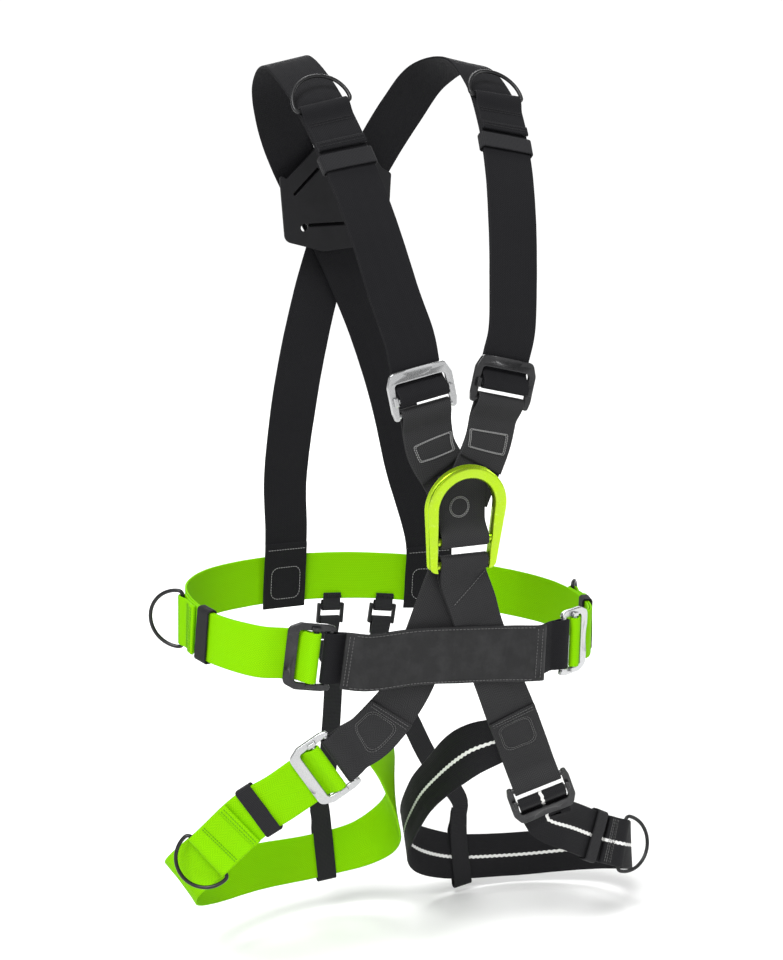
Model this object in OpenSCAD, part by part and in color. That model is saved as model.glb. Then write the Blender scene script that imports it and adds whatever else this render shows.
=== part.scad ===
// Full-body climbing harness with a chest attachment ring, in millimetres.
// The front faces -Y, the wearer's left is +X, up is +Z.
// The origin is the middle of the waist belt.

/* [Webbing] */
// width of the load webbing
web_w = 45; // [43:0.5:45.5]
// thickness of the load webbing
web_t = 2; // [1.4:0.1:2.1]
// gap left between two layers of webbing
layer_gap = 0.4; // [0.3:0.1:0.5]
// width of the elastic risers
riser_w = 19; // [14:0.5:20]

/* [Adjusters] */
// outside width of an adjuster frame
frame_w = 60; // [58:0.5:61]
// thickness of an adjuster frame
frame_t = 4; // [3.5:0.1:4]
// distance from the middle of an adjuster to its anchor bar
anchor_y = 13; // [13:0.5:15]
// distance from the middle of an adjuster to its outer edge
grip_y = 25; // [24:0.5:26]
// radius of the anchor bar
anchor_r = 2.5; // [2:0.1:2.6]
// radius of the slide bar
slide_r = 2.2; // [1.8:0.1:2.2]
// length of the wide grip bar along the strap
grip_len = 10; // [8:0.5:10]
// length of a keeper along the strap
keeper_len = 16; // [10:1:16]

/* [Pull rings] */
// wire radius of a pull ring
ring_r = 1.75; // [1.4:0.05:1.8]
// bow radius of a pull ring
ring_bow = 26; // [25.5:0.5:28]

/* [Chest ring] */
// half width of the chest ring at its arch
chest_half = 37; // [36:0.5:38]
// width of the chest ring section seen from the front
chest_band = 10.5; // [8:0.5:11]
// thickness of the chest ring from front to back
chest_t = 10; // [8:0.5:11]
// radius of the two crossbars
bar_r = 3.5; // [3:0.1:3.6]
// height of the upper crossbar above the lower one
bar_gap = 22; // [21:0.5:23]

/* [Waist sleeve] */
// height of the sleeve that covers the front of the belt
sleeve_w = 51; // [48:0.5:54]

/* [Hidden] */
$fn = 32;
half = web_w / 2;
lay = web_t + layer_gap;
frame_h = 1.5 * web_t + 2 * layer_gap;
slide_y = 0.5;
slide_z = frame_t + 1.6;
neck_r = 1.4;
roll_r = slide_r + 0.3 + web_t / 2;
loop_r = anchor_r + 0.4 + web_t / 2;
fold_r = ring_r + 0.4 + web_t / 2;
bar_fold_r = bar_r + 0.4 + web_t / 2;
strap_end = 16;
chest_x = 1;
chest_y = -124.4;
chest_z = 71;
chest_lean = 8;

black = [0.08, 0.08, 0.09];
charcoal = [0.2, 0.2, 0.21];
lime = [0.5, 0.85, 0.05];
silver = [0.75, 0.76, 0.78];
anodised = [0.78, 0.95, 0.15];

function unit(v) = v / norm(v);
function blend4(a, b, c, d, t) =
    0.5 * (2 * b + (c - a) * t + (2 * a - 5 * b + 4 * c - d) * t * t
    + (3 * b - a - 3 * c + d) * t * t * t);
function row_at(rows, i) =
    i < 0 ? 2 * rows[0] - rows[1]
    : i >= len(rows) ? 2 * rows[len(rows) - 1] - rows[len(rows) - 2]
    : rows[i];
function flat_row(c, d, n, k) = concat(c + 25 * k * d, n);

// A route is six lookup tables against distance: position and outward normal.
function dense(rows) = concat(
    [for (i = [0 : len(rows) - 2], j = [0 : 7])
        blend4(row_at(rows, i - 1), rows[i], rows[i + 1], row_at(rows, i + 2), j / 8)],
    [rows[len(rows) - 1]]);
function step_len(p, i) = norm([for (c = [0 : 2]) p[i][c] - p[i - 1][c]]);
function distances(p) = [for (i = 0, a = 0; i < len(p); i = i + 1,
    a = a + (i < len(p) ? step_len(p, i) : 0)) a];
function tables(p, d) = concat([for (c = [0 : 5]) [for (i = [0 : len(p) - 1]) [d[i], p[i][c]]]],
    [[for (i = [0 : 8 : len(p) - 1]) d[i]]]);
function route(rows) = let (p = dense(rows)) tables(p, distances(p));
function row_s(r, i) = r[6][i];
function end_s(r) = r[6][len(r[6]) - 1];
function on_route(r, s) = [lookup(s, r[0]), lookup(s, r[1]), lookup(s, r[2])];
function along(r, s) = let (k = min(max(s, 2), end_s(r) - 2))
    unit(on_route(r, k + 2) - on_route(r, k - 2));
function pos(r, s) = let (k = min(max(s, 0), end_s(r))) on_route(r, k) + (s - k) * along(r, s);
function raw_out(r, s) = [lookup(s, r[3]), lookup(s, r[4]), lookup(s, r[5])];
function out(r, s) = let (t = along(r, s), n = raw_out(r, s)) unit(n - t * (n * t));
function across(r, s) = cross(along(r, s), out(r, s));
function point(r, s, h, w) = pos(r, s) + out(r, s) * h + across(r, s) * w;

// Two-dimensional paths: distance along the route, height above it, thickness.
function line_to(a, b, n) = [for (i = [0 : n]) a + (b - a) * i / n];
function ease_to(a, b, n) = [for (i = [0 : n])
    [a[0] + (b[0] - a[0]) * i / n, a[1] + (b[1] - a[1]) * (1 - cos(180 * i / n)) / 2, web_t]];
function arc_to(c, r, a0, a1, n) = [for (i = [0 : n])
    let (a = a0 + (a1 - a0) * i / n) [c[0] + r * cos(a), c[1] + r * sin(a), web_t]];
function path_dir(p, i) = let (a = p[max(0, i - 1)], b = p[min(len(p) - 1, i + 1)])
    unit([b[0] - a[0], b[1] - a[1]]);
function moved(p, s0, dir) = [for (q = p) [s0 + dir * q[0], q[1], q[2]]];

// A sheet of webbing that follows a path along a route. Matched sheets split their lower
// face along the same diagonals as the upper face of the sheet they lie on.
module sheet(r, path, width, matched = false) {
    n = len(path);
    pts = [for (i = [0 : n - 1], side = [0 : 3])
        let (
            d = path_dir(path, i),
            e = (side < 2 ? 0.5 : -0.5) * path[i][2],
            w = (side == 0 || side == 3 ? -0.5 : 0.5) * width
        ) point(r, path[i][0] - d[1] * e, path[i][1] + d[0] * e, w)];
    sides = [for (i = [0 : n - 2], k = [0 : 3])
        let (a = 4 * i + k, b = 4 * i + (k + 1) % 4) [a, b, b + 4, a + 4]];
    tris = concat(
        [for (j = [0 : len(sides) - 1]) let (q = sides[j], m = matched && j % 4 == 2 ? 3 : 2)
            [q[0], q[1], q[m]]],
        [for (j = [0 : len(sides) - 1]) let (q = sides[j], m = matched && j % 4 == 2 ? 1 : 0)
            [q[m], q[2], q[3]]],
        [[2, 1, 0], [3, 2, 0]],
        [[4 * n - 4, 4 * n - 3, 4 * n - 2], [4 * n - 4, 4 * n - 2, 4 * n - 1]]);
    polyhedron(pts, tris, convexity = 6);
}

// Stands a rigid piece on a route: X across, Y along, Z outward.
module stand(r, s, dir, h) {
    p = point(r, s, h, 0);
    x = across(r, s) * dir;
    y = along(r, s) * dir;
    z = out(r, s);
    multmatrix([
        [x[0], y[0], z[0], p[0]],
        [x[1], y[1], z[1], p[1]],
        [x[2], y[2], z[2], p[2]],
        [0, 0, 0, 1]]) children();
}

// Routes
br_mid = [-126, -94, -4];
br_dir = unit([-0.955, 0.27, 0.12]);
br_n = [-0.27, -1, 0];
bl_mid = [122, -88, -22];
bl_dir = unit([0.86, 0.5, -0.05]);
bl_n = [0.5, -0.86, 0];
belt = route(concat(
    [for (k = [1 : -1 : -2]) flat_row(bl_mid, bl_dir, bl_n, k)],
    [[42, -110, -16, 0.05, -1, 0],
    [0, -110.5, -12, 0, -1, 0],
    [-40, -110, -9, -0.05, -1, 0]],
    [for (k = [-2 : 2]) flat_row(br_mid, br_dir, br_n, k)],
    [[-200, -50, 8, -1, -0.6, 0],
    [-206, -10, 12, -1, -0.1, 0],
    [-194, 35, 14, -1, 0.4, 0],
    [-160, 72, 14, -0.7, 1, 0],
    [-110, 95, 12, -0.3, 1, 0],
    [-55, 106, 9, -0.1, 1, 0],
    [0, 108, 4, 0, 1, 0],
    [55, 106, -4, 0.1, 1, 0],
    [110, 94, -14, 0.3, 1, 0],
    [148, 67, -20, 0.7, 1, 0],
    [169, 32, -23, 1, 0.4, 0],
    [174, -12, -25, 1, -0.1, 0],
    [166, -47, -25, 1, -0.5, 0]],
    [for (k = [1.5, 1, 0, -1, -2]) flat_row(bl_mid, bl_dir, bl_n, k)]));

// The back straps end on the inside of the belt, sewn flat against it.
function belt_row(s, w) = concat(point(belt, s, -3.6, w), out(belt, s));
function belt_rows(s, lean) = [belt_row(s - 8 * lean, 45), belt_row(s, 0), belt_row(s + 3 * lean, -27)];

sr_mid = [-34, -113, 221];
sr_dir = unit([-0.19, 0.05, 0.98]);
sr_n = [-0.05, -1, 0.05];
shoulder_right = route(concat(
    [[1, -117, 95, 0, -1, 0], [0, -117, 120, 0, -1, 0], [-9, -115.8, 145, 0, -1, 0]],
    [for (k = [-2 : 2]) flat_row(sr_mid, sr_dir, sr_n, k)],
    [[-54, -103, 306, -0.05, -1, 0.2],
    [-63, -87, 352, -0.05, -1, 0.45],
    [-70, -59, 398, -0.1, -1, 0.8],
    [-76, -25, 438, -0.2, -1, 1.1],
    [-82, 12, 472, -0.3, -0.7, 1.6],
    [-88, 52, 492, -0.3, 0.2, 1.6],
    [-84, 90, 472, -0.3, 1, 1],
    [-70, 112, 432, -0.15, 1, 0.4],
    [-48, 125, 388, 0, 1, 0.15],
    [-20, 129, 340, 0, 1, 0],
    [4, 129, 290, 0, 1, 0],
    [26, 124, 232, 0, 1, 0],
    [43, 117, 170, 0, 1, 0],
    [56, 110, 105, 0.1, 1, 0]],
    belt_rows(row_s(belt, 19) + 18, 1)));

sl_mid = [41, -113, 222];
sl_dir = unit([0.25, 0.05, 0.967]);
sl_n = [0.05, -1, 0.05];
shoulder_left = route(concat(
    [[1, -120, 95, 0, -1, 0], [4, -120.2, 120, 0, -1, 0], [14, -120.6, 146, 0, -1, 0]],
    [for (k = [-2 : 2]) flat_row(sl_mid, sl_dir, sl_n, k)],
    [[58, -103, 306, 0.05, -1, 0.2],
    [65, -87, 352, 0.05, -1, 0.45],
    [75, -59, 398, 0.1, -1, 0.8],
    [84, -25, 434, 0.2, -1, 1.1],
    [89, 12, 466, 0.3, -0.7, 1.6],
    [84, 52, 486, 0.3, 0.2, 1.6],
    [66, 90, 472, 0.3, 1, 1],
    [50, 112, 440, 0.15, 1, 0.4],
    [29, 128, 398, 0, 1, 0.15],
    [0, 133.5, 348, 0, 1, 0],
    [-22, 133, 290, 0, 1, 0],
    [-41, 126, 232, 0, 1, 0],
    [-57, 118, 170, 0, 1, 0],
    [-69, 110, 105, -0.1, 1, 0]],
    belt_rows(row_s(belt, 17) - 21, 0)));

lr_mid = [-112, -91, -106];
lr_dir = unit([-0.8, 0.22, -0.555]);
lr_n = [-0.3, -1, 0];
leg_right = route(concat(
    [[0, -114, 71, 0, -1, 0],
    [-12, -114, 42, 0, -1, 0],
    [-26, -114, 8, 0, -1, 0],
    [-44, -115.5, -36, 0.05, -1, 0]],
    [for (k = [-2 : 2]) flat_row(lr_mid, lr_dir, lr_n, k)],
    [[-176, -66, -153, -0.6, -1, 0],
    [-200, -42, -188, -0.9, -0.7, -0.3],
    [-219, -5, -228, -0.9, -0.1, -0.5],
    [-172, 40, -250, -0.5, 1, -0.3],
    [-117, 66, -256, -0.3, 1, -0.1],
    [-56, 80, -260, 0.1, 1, 0],
    [-8, 70, -250, 0.7, 1, 0],
    [6, 40, -222, 1, 0.2, 0],
    [-6, 3, -182, 1, -0.5, 0.2],
    [-26, -32, -143, 0.8, -1, 0.3],
    [-49, -66, -108, 0.4, -1, 0.3],
    [-66, -88, -84, 0.1, -1, 0.2]]));

ll_mid = [97, -89, -160];
ll_dir = unit([0.4, 0.16, -0.9]);
ll_n = [-0.2, -1, -0.27];
leg_left = route(concat(
    [[2, -119, 83, 0, -1, 0],
    [2, -119, 71, 0, -1, 0],
    [2.6, -119, 61, 0, -1, 0],
    [7.5, -119, 48, 0, -1, 0],
    [13.5, -119, 32, 0, -1, 0],
    [25, -117.8, 0, 0, -1, 0],
    [43.5, -116.8, -48, -0.03, -1, -0.03]],
    [for (k = [-3, -2, -1, 0, 1, 1.4]) flat_row(ll_mid, ll_dir, ll_n, k)],
    [[137, -77, -206, 0.4, -1, -0.05],
    [172, -64, -226, 0.6, -1, 0],
    [205, -46, -243, 0.8, -0.9, 0],
    [235, -12, -262, 1, -0.2, 0],
    [215, 42, -280, 0.8, 0.8, 0],
    [150, 74, -288, 0.1, 1, 0],
    [78, 74, -278, -0.5, 1, 0],
    [25, 45, -243, -1, 0.3, 0],
    [15, 0, -190, -1, -0.25, 0.35],
    [20, -38, -152, -1, -0.5, 0.5],
    [33, -69.5, -122, -0.7, -1, 0.3],
    [53, -85.5, -109, -0.25, -1, -0.05],
    [70, -95.3, -102, -0.2, -1, -0.27]]));

// Adjusters: route, distance of the middle, direction, distances of keeper and pull ring,
// and the length of the tail folded back round the ring.
s_sr = row_s(shoulder_right, 5);
s_sl = row_s(shoulder_left, 5);
s_lr = row_s(leg_right, 6);
s_ll = row_s(leg_left, 10);
s_br = row_s(belt, 9);
s_bl_front = row_s(belt, 1);
s_bl = row_s(belt, 27);
adj_sr = [shoulder_right, s_sr, 1, 212, 268, 44];
adj_sl = [shoulder_left, s_sl, 1, 220, 272, 40];
adj_br = [belt, s_br, 1, 102, 144, 30];
adj_bl = [belt, s_bl, -1, 76, 118, 30];
adj_lr = [leg_right, s_lr, 1, 72, 138, 48];
adj_ll = [leg_left, s_ll, 1, 100, 144, 30];

// Adjuster pieces
module frame_outline() {
    offset(3) offset(-3) polygon([
        [1.7 - frame_w / 2, -anchor_y - 3.5], [frame_w / 2 - 1.7, -anchor_y - 3.5],
        [frame_w / 2, 4 - anchor_y], [frame_w / 2, 14], [25, grip_y],
        [-25, grip_y], [-frame_w / 2, 14], [-frame_w / 2, 4 - anchor_y]]);
}

module frame_window() {
    translate([-half - 1, -anchor_y - 9]) square([web_w + 2, grip_y + anchor_y + 9 - grip_len]);
}

module buckle_frame(a) {
    stand(a[0], a[1], a[2], frame_h) {
        difference() {
            linear_extrude(frame_t) difference() {
                frame_outline();
                frame_window();
            }
            translate([-15, grip_y - 1 - grip_len * 0.5 - 2.5, frame_t - 1])
                linear_extrude(2) offset(2) offset(-2) square([30, 5]);
        }
        translate([-half - 3, -anchor_y, 2]) rotate([0, 90, 0]) cylinder(r = anchor_r, h = web_w + 6);
    }
}

module slide_bar(a) {
    stand(a[0], a[1], a[2], frame_h) {
        translate([-half - 0.7, slide_y, slide_z]) rotate([0, 90, 0]) cylinder(r = slide_r, h = web_w + 1.4);
        translate([-half - 2.5, slide_y, slide_z]) rotate([0, 90, 0]) cylinder(r = neck_r, h = web_w + 5);
        for (m = [-1, 1])
            translate([m * (half + 2.9), slide_y, frame_t + 0.15])
                linear_extrude(3) offset(1) square([2, 6], center = true);
    }
}

module roll(a) {
    top = slide_z + frame_h + roll_r;
    low = slide_z + frame_h - roll_r;
    e = strap_end - 0.8;
    path = concat(
        ease_to([e, 0], [slide_y + 0.6, low], 8),
        arc_to([slide_y, slide_z + frame_h], roll_r, 270, 90, 10),
        ease_to([slide_y + 0.6, top], [e, lay], 9));
    sheet(a[0], moved(path, a[1], a[2]), web_w);
}

module tail(a) {
    r = a[4];
    back = a[5];
    c = lay + fold_r;
    path = concat(
        line_to([strap_end, lay, web_t], [r - 8, lay, web_t], max(6, ceil(r / 6))),
        arc_to([r, c], fold_r, -90, 90, 10),
        ease_to([r - 1, c + fold_r], [r - 14, 2 * lay], 6),
        line_to([r - 16, 2 * lay, web_t], [r - back + 9, 2 * lay, web_t], 3),
        [[r - back + 8, 2 * lay + 0.9, 1.8 + web_t], [r - back, 2 * lay + 0.9, 1.8 + web_t]]);
    sheet(a[0], moved(path, a[1], a[2]), web_w, a[2] > 0);
}

module keeper(a) {
    stand(a[0], a[1] + a[2] * a[3], a[2], 0)
        translate([0, keeper_len / 2, lay / 2]) rotate([90, 0, 0])
            linear_extrude(keeper_len) difference() {
                square([web_w + 5, lay + web_t + 5.8], center = true);
                square([web_w + 1.6, lay + web_t + 2.6], center = true);
            }
}

module pull_ring(a, lift) {
    stand(a[0], a[1] + a[2] * a[4], a[2], lay + fold_r) rotate([lift, 0, 0]) {
        translate([-ring_bow + 4, 0, 0]) rotate([0, 90, 0]) cylinder(r = ring_r, h = 2 * ring_bow - 8);
        translate([0, 4, 0]) rotate_extrude(angle = 180) translate([ring_bow, 0]) circle(ring_r);
        for (m = [0, 1])
            mirror([m, 0, 0]) translate([ring_bow - 4, 4, 0]) rotate([0, 0, -90])
                rotate_extrude(angle = 90) translate([4, 0]) circle(ring_r);
    }
}

// Front webbing that ends in a sewn loop round the anchor bar of an adjuster.
function anchor_loop(y0, h0) = let (c = frame_h + 2) concat(
    ease_to([y0, h0], [-anchor_y - 0.6, c - loop_r], 6),
    arc_to([-anchor_y, c], loop_r, -90, 90, 8),
    ease_to([-anchor_y - 0.6, c + loop_r], [-anchor_y - 18, lay], 6),
    line_to([-anchor_y - 22, lay, web_t], [-anchor_y - 36, lay, web_t], 2));

// Webbing nodes
module shoulder_strap(a) {
    sheet(a[0], line_to([a[1] + strap_end, 0, web_t], [end_s(a[0]), 0, web_t], 70), web_w);
}

module chest_strap(a, from_s) {
    path = concat(
        line_to([from_s, 0, web_t], [a[1] - anchor_y - 22, 0, web_t], 8),
        moved(anchor_loop(-anchor_y - 18, 0), a[1], 1));
    sheet(a[0], path, web_w);
}

module leg_strap_left() {
    a = adj_ll;
    c = -chest_y - 119;
    b = row_s(leg_left, 1);
    path = concat(
        [[b + 34, lay, web_t], [b + 26, lay, web_t]],
        ease_to([b + 20, lay + 0.2], [b + 0.6, c + bar_fold_r], 7),
        arc_to([b, c], bar_fold_r, 90, 270, 10),
        ease_to([b + 0.6, c - bar_fold_r], [b + 10, 0], 3),
        line_to([b + 16, 0, web_t], [a[1] - anchor_y - 22, 0, web_t], 20),
        moved(anchor_loop(-anchor_y - 18, 0), a[1], 1));
    sheet(a[0], path, web_w);
}

module leg_strap_right() {
    a = adj_lr;
    path = concat(
        line_to([6, 0, web_t], [a[1] - anchor_y - 22, 0, web_t], 18),
        moved(anchor_loop(-anchor_y - 18, 0), a[1], 1));
    sheet(a[0], path, web_w);
}

module thigh_band(a) {
    near = a[4] - 8;
    sheet(a[0], concat(
        line_to([a[1] + strap_end, 0, web_t], [a[1] + near, 0, web_t], max(6, ceil(a[4] / 6))),
        line_to([a[1] + near + 8, 0, web_t], [end_s(a[0]), 0, web_t], 80)), web_w);
}

module belt_webbing() {
    sheet(belt, line_to([s_br + strap_end, 0, web_t], [s_bl - strap_end, 0, web_t], 76), web_w);
}

module belt_front() {
    left = moved(anchor_loop(-anchor_y - 18, 0), s_bl_front, -1);
    right = moved(anchor_loop(-anchor_y - 18, 0), s_br, 1);
    turned = [for (i = [len(left) - 1 : -1 : 0]) left[i]];
    path = concat(turned,
        line_to([s_bl_front + anchor_y + 22, 0, web_t], [s_br - anchor_y - 22, 0, web_t], 14), right);
    sheet(belt, path, web_w);
}

module belt_sleeve() {
    a = s_bl_front + 48;
    b = s_br - 25;
    side = 3 * lay + 4;
    sheet(belt, line_to([a, side, web_t], [b, side, web_t], 18), sleeve_w);
}

// The chest ring stands on its lower crossbar and leans slightly forward.
module chest_frame() {
    translate([chest_x, chest_y, chest_z]) children();
}

module chest_outline() {
    hull() {
        translate([0, 90 - chest_half]) circle(chest_half, $fn = 72);
        for (m = [-1, 1])
            translate([m * 25.5, 1]) circle(6);
    }
}

module chest_opening() {
    hull() {
        translate([0, 90 - chest_half]) circle(chest_half - chest_band, $fn = 72);
        for (m = [-1, 1])
            translate([m * (half + 0.3), -12]) circle(0.8);
    }
}

module chest_ring() {
    chest_frame() rotate([90 + chest_lean, 0, 0]) {
        for (k = [0, 1])
            translate([0, 0, 1.5 * k - chest_t / 2]) linear_extrude(chest_t - 3 * k) difference() {
                offset(delta = 1.5 * k - 1.5) chest_outline();
                offset(delta = 1.5 - 1.5 * k) chest_opening();
            }
        for (y = [0, bar_gap])
            translate([-half - 4, y, 0]) rotate([0, 90, 0]) cylinder(r = bar_r, h = web_w + 8);
    }
}

// The upper webbing fold: points are height above the upper crossbar and distance in front of it.
module chest_fold() {
    path = concat(
        ease_to([25, -6.4], [0.6, bar_fold_r], 8),
        arc_to([0, 0], bar_fold_r, 90, 270, 10),
        ease_to([0.6, -bar_fold_r], [18, -9.2], 6));
    n = len(path);
    side = [for (e = [0.5, -0.5]) [for (i = [0 : n - 1])
        let (d = path_dir(path, i))
        [-path[i][1] - d[0] * e * web_t, path[i][0] - d[1] * e * web_t]]];
    turned = [for (i = [n - 1 : -1 : 0]) side[1][i]];
    chest_frame() translate([-half, -bar_gap * sin(chest_lean), bar_gap * cos(chest_lean)])
        rotate([90, 0, 90]) linear_extrude(web_w) polygon(concat(side[0], turned));
}

module back_plate() {
    translate([-3, 116, 2]) rotate([90, 0, 0]) linear_extrude(3, center = true) difference() {
        offset(2.5) offset(-2.5) polygon([[-67, 384], [-60, 379], [-31, 407], [-37, 413], [-20, 423],
            [4, 424], [12, 415], [35, 385], [44, 380], [42, 348], [14, 314], [-24, 311], [-62, 322]]);
        translate([-41, 376]) rotate(44) square([34, 3], center = true);
        translate([18, 383]) rotate(-50) square([34, 3], center = true);
        translate([-20, 336]) square([38, 3], center = true);
        translate([-43, 334]) circle(3.5);
    }
}

// Elastic risers and their buckles
lock_x = 7.5;
lock_gap = 12.5;
lock_top = half + lock_x;
s_lock_r = row_s(belt, 18) - 23;
s_lock_l = row_s(belt, 18) + 33;

function fold2(c, r, a0, a1, n) = [for (i = [0 : n])
    let (a = a0 + (a1 - a0) * i / n) [c[0] + r * cos(a), c[1] + r * sin(a)]];

// A flat strip bent in the plane of height and depth, drawn across its width.
module strip(path, t, w) {
    n = len(path);
    side = [for (e = [0.5, -0.5]) [for (i = [0 : n - 1])
        let (d = path_dir(path, i)) [path[i][0] - d[1] * e * t, path[i][1] + d[0] * e * t]]];
    turned = [for (i = [n - 1 : -1 : 0]) side[1][i]];
    translate([0, w / 2, 0]) rotate([90, 0, 0]) linear_extrude(w) polygon(concat(side[0], turned));
}

module riser_tab(s) {
    r = 3.2;
    c = [-lock_top, -1];
    path = concat(
        [[6 - half, -2.2], [-half, -2.3]],
        fold2(c, r, 270, 90, 10),
        [[-half - 2.2, 1.8]]);
    stand(belt, s, 1, 0) strip(path, 1.4, riser_w - 1);
}

module ladder_lock(s) {
    stand(belt, s, 1, 0) translate([0, 0, -1]) {
        translate([-lock_top, 0, -2]) linear_extrude(4) difference() {
            offset(2) offset(-2) translate([-lock_gap - 3.5, -13.5]) square([lock_gap + 7, 27]);
            translate([-lock_gap, -riser_w / 2 - 0.8]) square([lock_gap, riser_w + 1.6]);
            translate([-lock_gap - 8, -riser_w / 2 - 0.8]) square([8, riser_w + 1.6]);
            translate([0, -riser_w / 2 - 0.8]) square([8, riser_w + 1.6]);
        }
        for (x = [0, lock_gap])
            translate([-lock_top - x, 12, 0]) rotate([90, 0, 0]) cylinder(r = 2, h = 24);
    }
}

module riser_top(s) {
    r = 3.1;
    path = concat(
        [[-19, -1.1], [-14, -1.2], [-8, -2.1]],
        fold2([0, 0], r, -110, 110, 12),
        [[-8, 2.1], [-14, 1.2]]);
    stand(belt, s, 1, -1) translate([-lock_top - lock_gap, 0, 0]) strip(path, 1.4, riser_w);
}

function riser_row(p, n) = concat(p, n);
function riser_route(s, mid, leg, s_leg, up, lean) = route(concat(
    [for (x = [20, 34]) riser_row(point(belt, s, -2.1, -lock_top - lock_gap - x), out(belt, s))],
    mid,
    [for (x = [58, 40, 22, 0, -22]) let (at = s_leg + lean * (x + 22))
        riser_row(point(leg, at, -2.8, up * x), out(leg, at))]));
riser_right_route = riser_route(s_lock_r,
    [[-28, 95, -80, 0, 1, 0], [-34, 87, -135, 0, 1, 0], [-42, 81, -185, 0, 1, 0]],
    leg_right, row_s(leg_right, 14) + 11, 1, 0);
riser_left_route = riser_route(s_lock_l,
    [[33, 101, -104, 0, 1, 0], [51, 93, -143, 0, 1, 0], [69, 86, -183, 0, 1, 0]],
    leg_left, row_s(leg_left, 18) + 48, -1, 0.3);

module riser(r, reach) {
    e = row_s(r, 9);
    path = concat(
        line_to([0.4, 0, 1.4], [e - 2, 0, 1.4], 26),
        arc_to([e + reach, 2.8], 2.8, -90, 90, 8),
        line_to([e - 4, 5.6, 1.4], [e - 44 - reach, 5.6, 1.4], 5),
        [[e - 51 - reach, 4, 1.4], [e - 59 - reach, 1.9, 1.4], [e - 70 - reach, 1.9, 1.4]]);
    sheet(r, [for (q = path) [q[0], q[1], 1.4]], riser_w);
}

color(black) shoulder_strap(adj_sr);  // shoulder_strap_right
color(black) shoulder_strap(adj_sl);  // shoulder_strap_left
color(charcoal) chest_strap(adj_sr, 24.5);  // chest_strap_right
color(charcoal) chest_strap(adj_sl, 30);  // chest_strap_left
color(charcoal) leg_strap_right();
color(charcoal) leg_strap_left();
color(lime) thigh_band(adj_lr);  // thigh_band_right
color(black) thigh_band(adj_ll);  // thigh_band_left
color(lime) belt_webbing();
color(black) belt_front();
color(charcoal) belt_sleeve();
color(black) back_plate();
color(anodised) chest_ring();
color(charcoal) chest_fold();
color(black) riser(riser_right_route, 1);  // riser_right
color(black) riser(riser_left_route, 4);  // riser_left
color(black) riser_top(s_lock_r);  // riser_top_right
color(black) riser_top(s_lock_l);  // riser_top_left
color(black) ladder_lock(s_lock_r);  // ladder_lock_right
color(black) ladder_lock(s_lock_l);  // ladder_lock_left
color(black) riser_tab(s_lock_r);  // riser_tab_right
color(black) riser_tab(s_lock_l);  // riser_tab_left
color(silver) buckle_frame(adj_sr);  // frame_shoulder_right
color(silver) slide_bar(adj_sr);  // slide_shoulder_right
color(black) roll(adj_sr);  // roll_shoulder_right
color(black) tail(adj_sr);  // tail_shoulder_right
color(black) keeper(adj_sr);  // keeper_shoulder_right
color(black) pull_ring(adj_sr, 10);  // ring_shoulder_right
color(black) buckle_frame(adj_sl);  // frame_shoulder_left
color(black) slide_bar(adj_sl);  // slide_shoulder_left
color(black) roll(adj_sl);  // roll_shoulder_left
color(black) tail(adj_sl);  // tail_shoulder_left
color(black) keeper(adj_sl);  // keeper_shoulder_left
color(black) pull_ring(adj_sl, 5);  // ring_shoulder_left
color(black) buckle_frame(adj_br);  // frame_belt_right
color(black) slide_bar(adj_br);  // slide_belt_right
color(lime) roll(adj_br);  // roll_belt_right
color(lime) tail(adj_br);  // tail_belt_right
color(black) keeper(adj_br);  // keeper_belt_right
color(black) pull_ring(adj_br, 60);  // ring_belt_right
color(silver) buckle_frame(adj_bl);  // frame_belt_left
color(silver) slide_bar(adj_bl);  // slide_belt_left
color(lime) roll(adj_bl);  // roll_belt_left
color(lime) tail(adj_bl);  // tail_belt_left
color(black) keeper(adj_bl);  // keeper_belt_left
color(black) pull_ring(adj_bl, 40);  // ring_belt_left
color(silver) buckle_frame(adj_lr);  // frame_leg_right
color(silver) slide_bar(adj_lr);  // slide_leg_right
color(lime) roll(adj_lr);  // roll_leg_right
color(lime) tail(adj_lr);  // tail_leg_right
color(black) keeper(adj_lr);  // keeper_leg_right
color(black) pull_ring(adj_lr, 25);  // ring_leg_right
color(black) buckle_frame(adj_ll);  // frame_leg_left
color(black) slide_bar(adj_ll);  // slide_leg_left
color(black) roll(adj_ll);  // roll_leg_left
color(black) tail(adj_ll);  // tail_leg_left
color(black) keeper(adj_ll);  // keeper_leg_left
color(black) pull_ring(adj_ll, 30);  // ring_leg_left
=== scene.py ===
# Full-body climbing harness: the looks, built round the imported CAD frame.
# Lengths in this file are millimetres in the CAD's frame, and meshes are made in metres.
import math

import bpy
import bmesh
import numpy as np
from mathutils import Matrix, Vector


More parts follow.
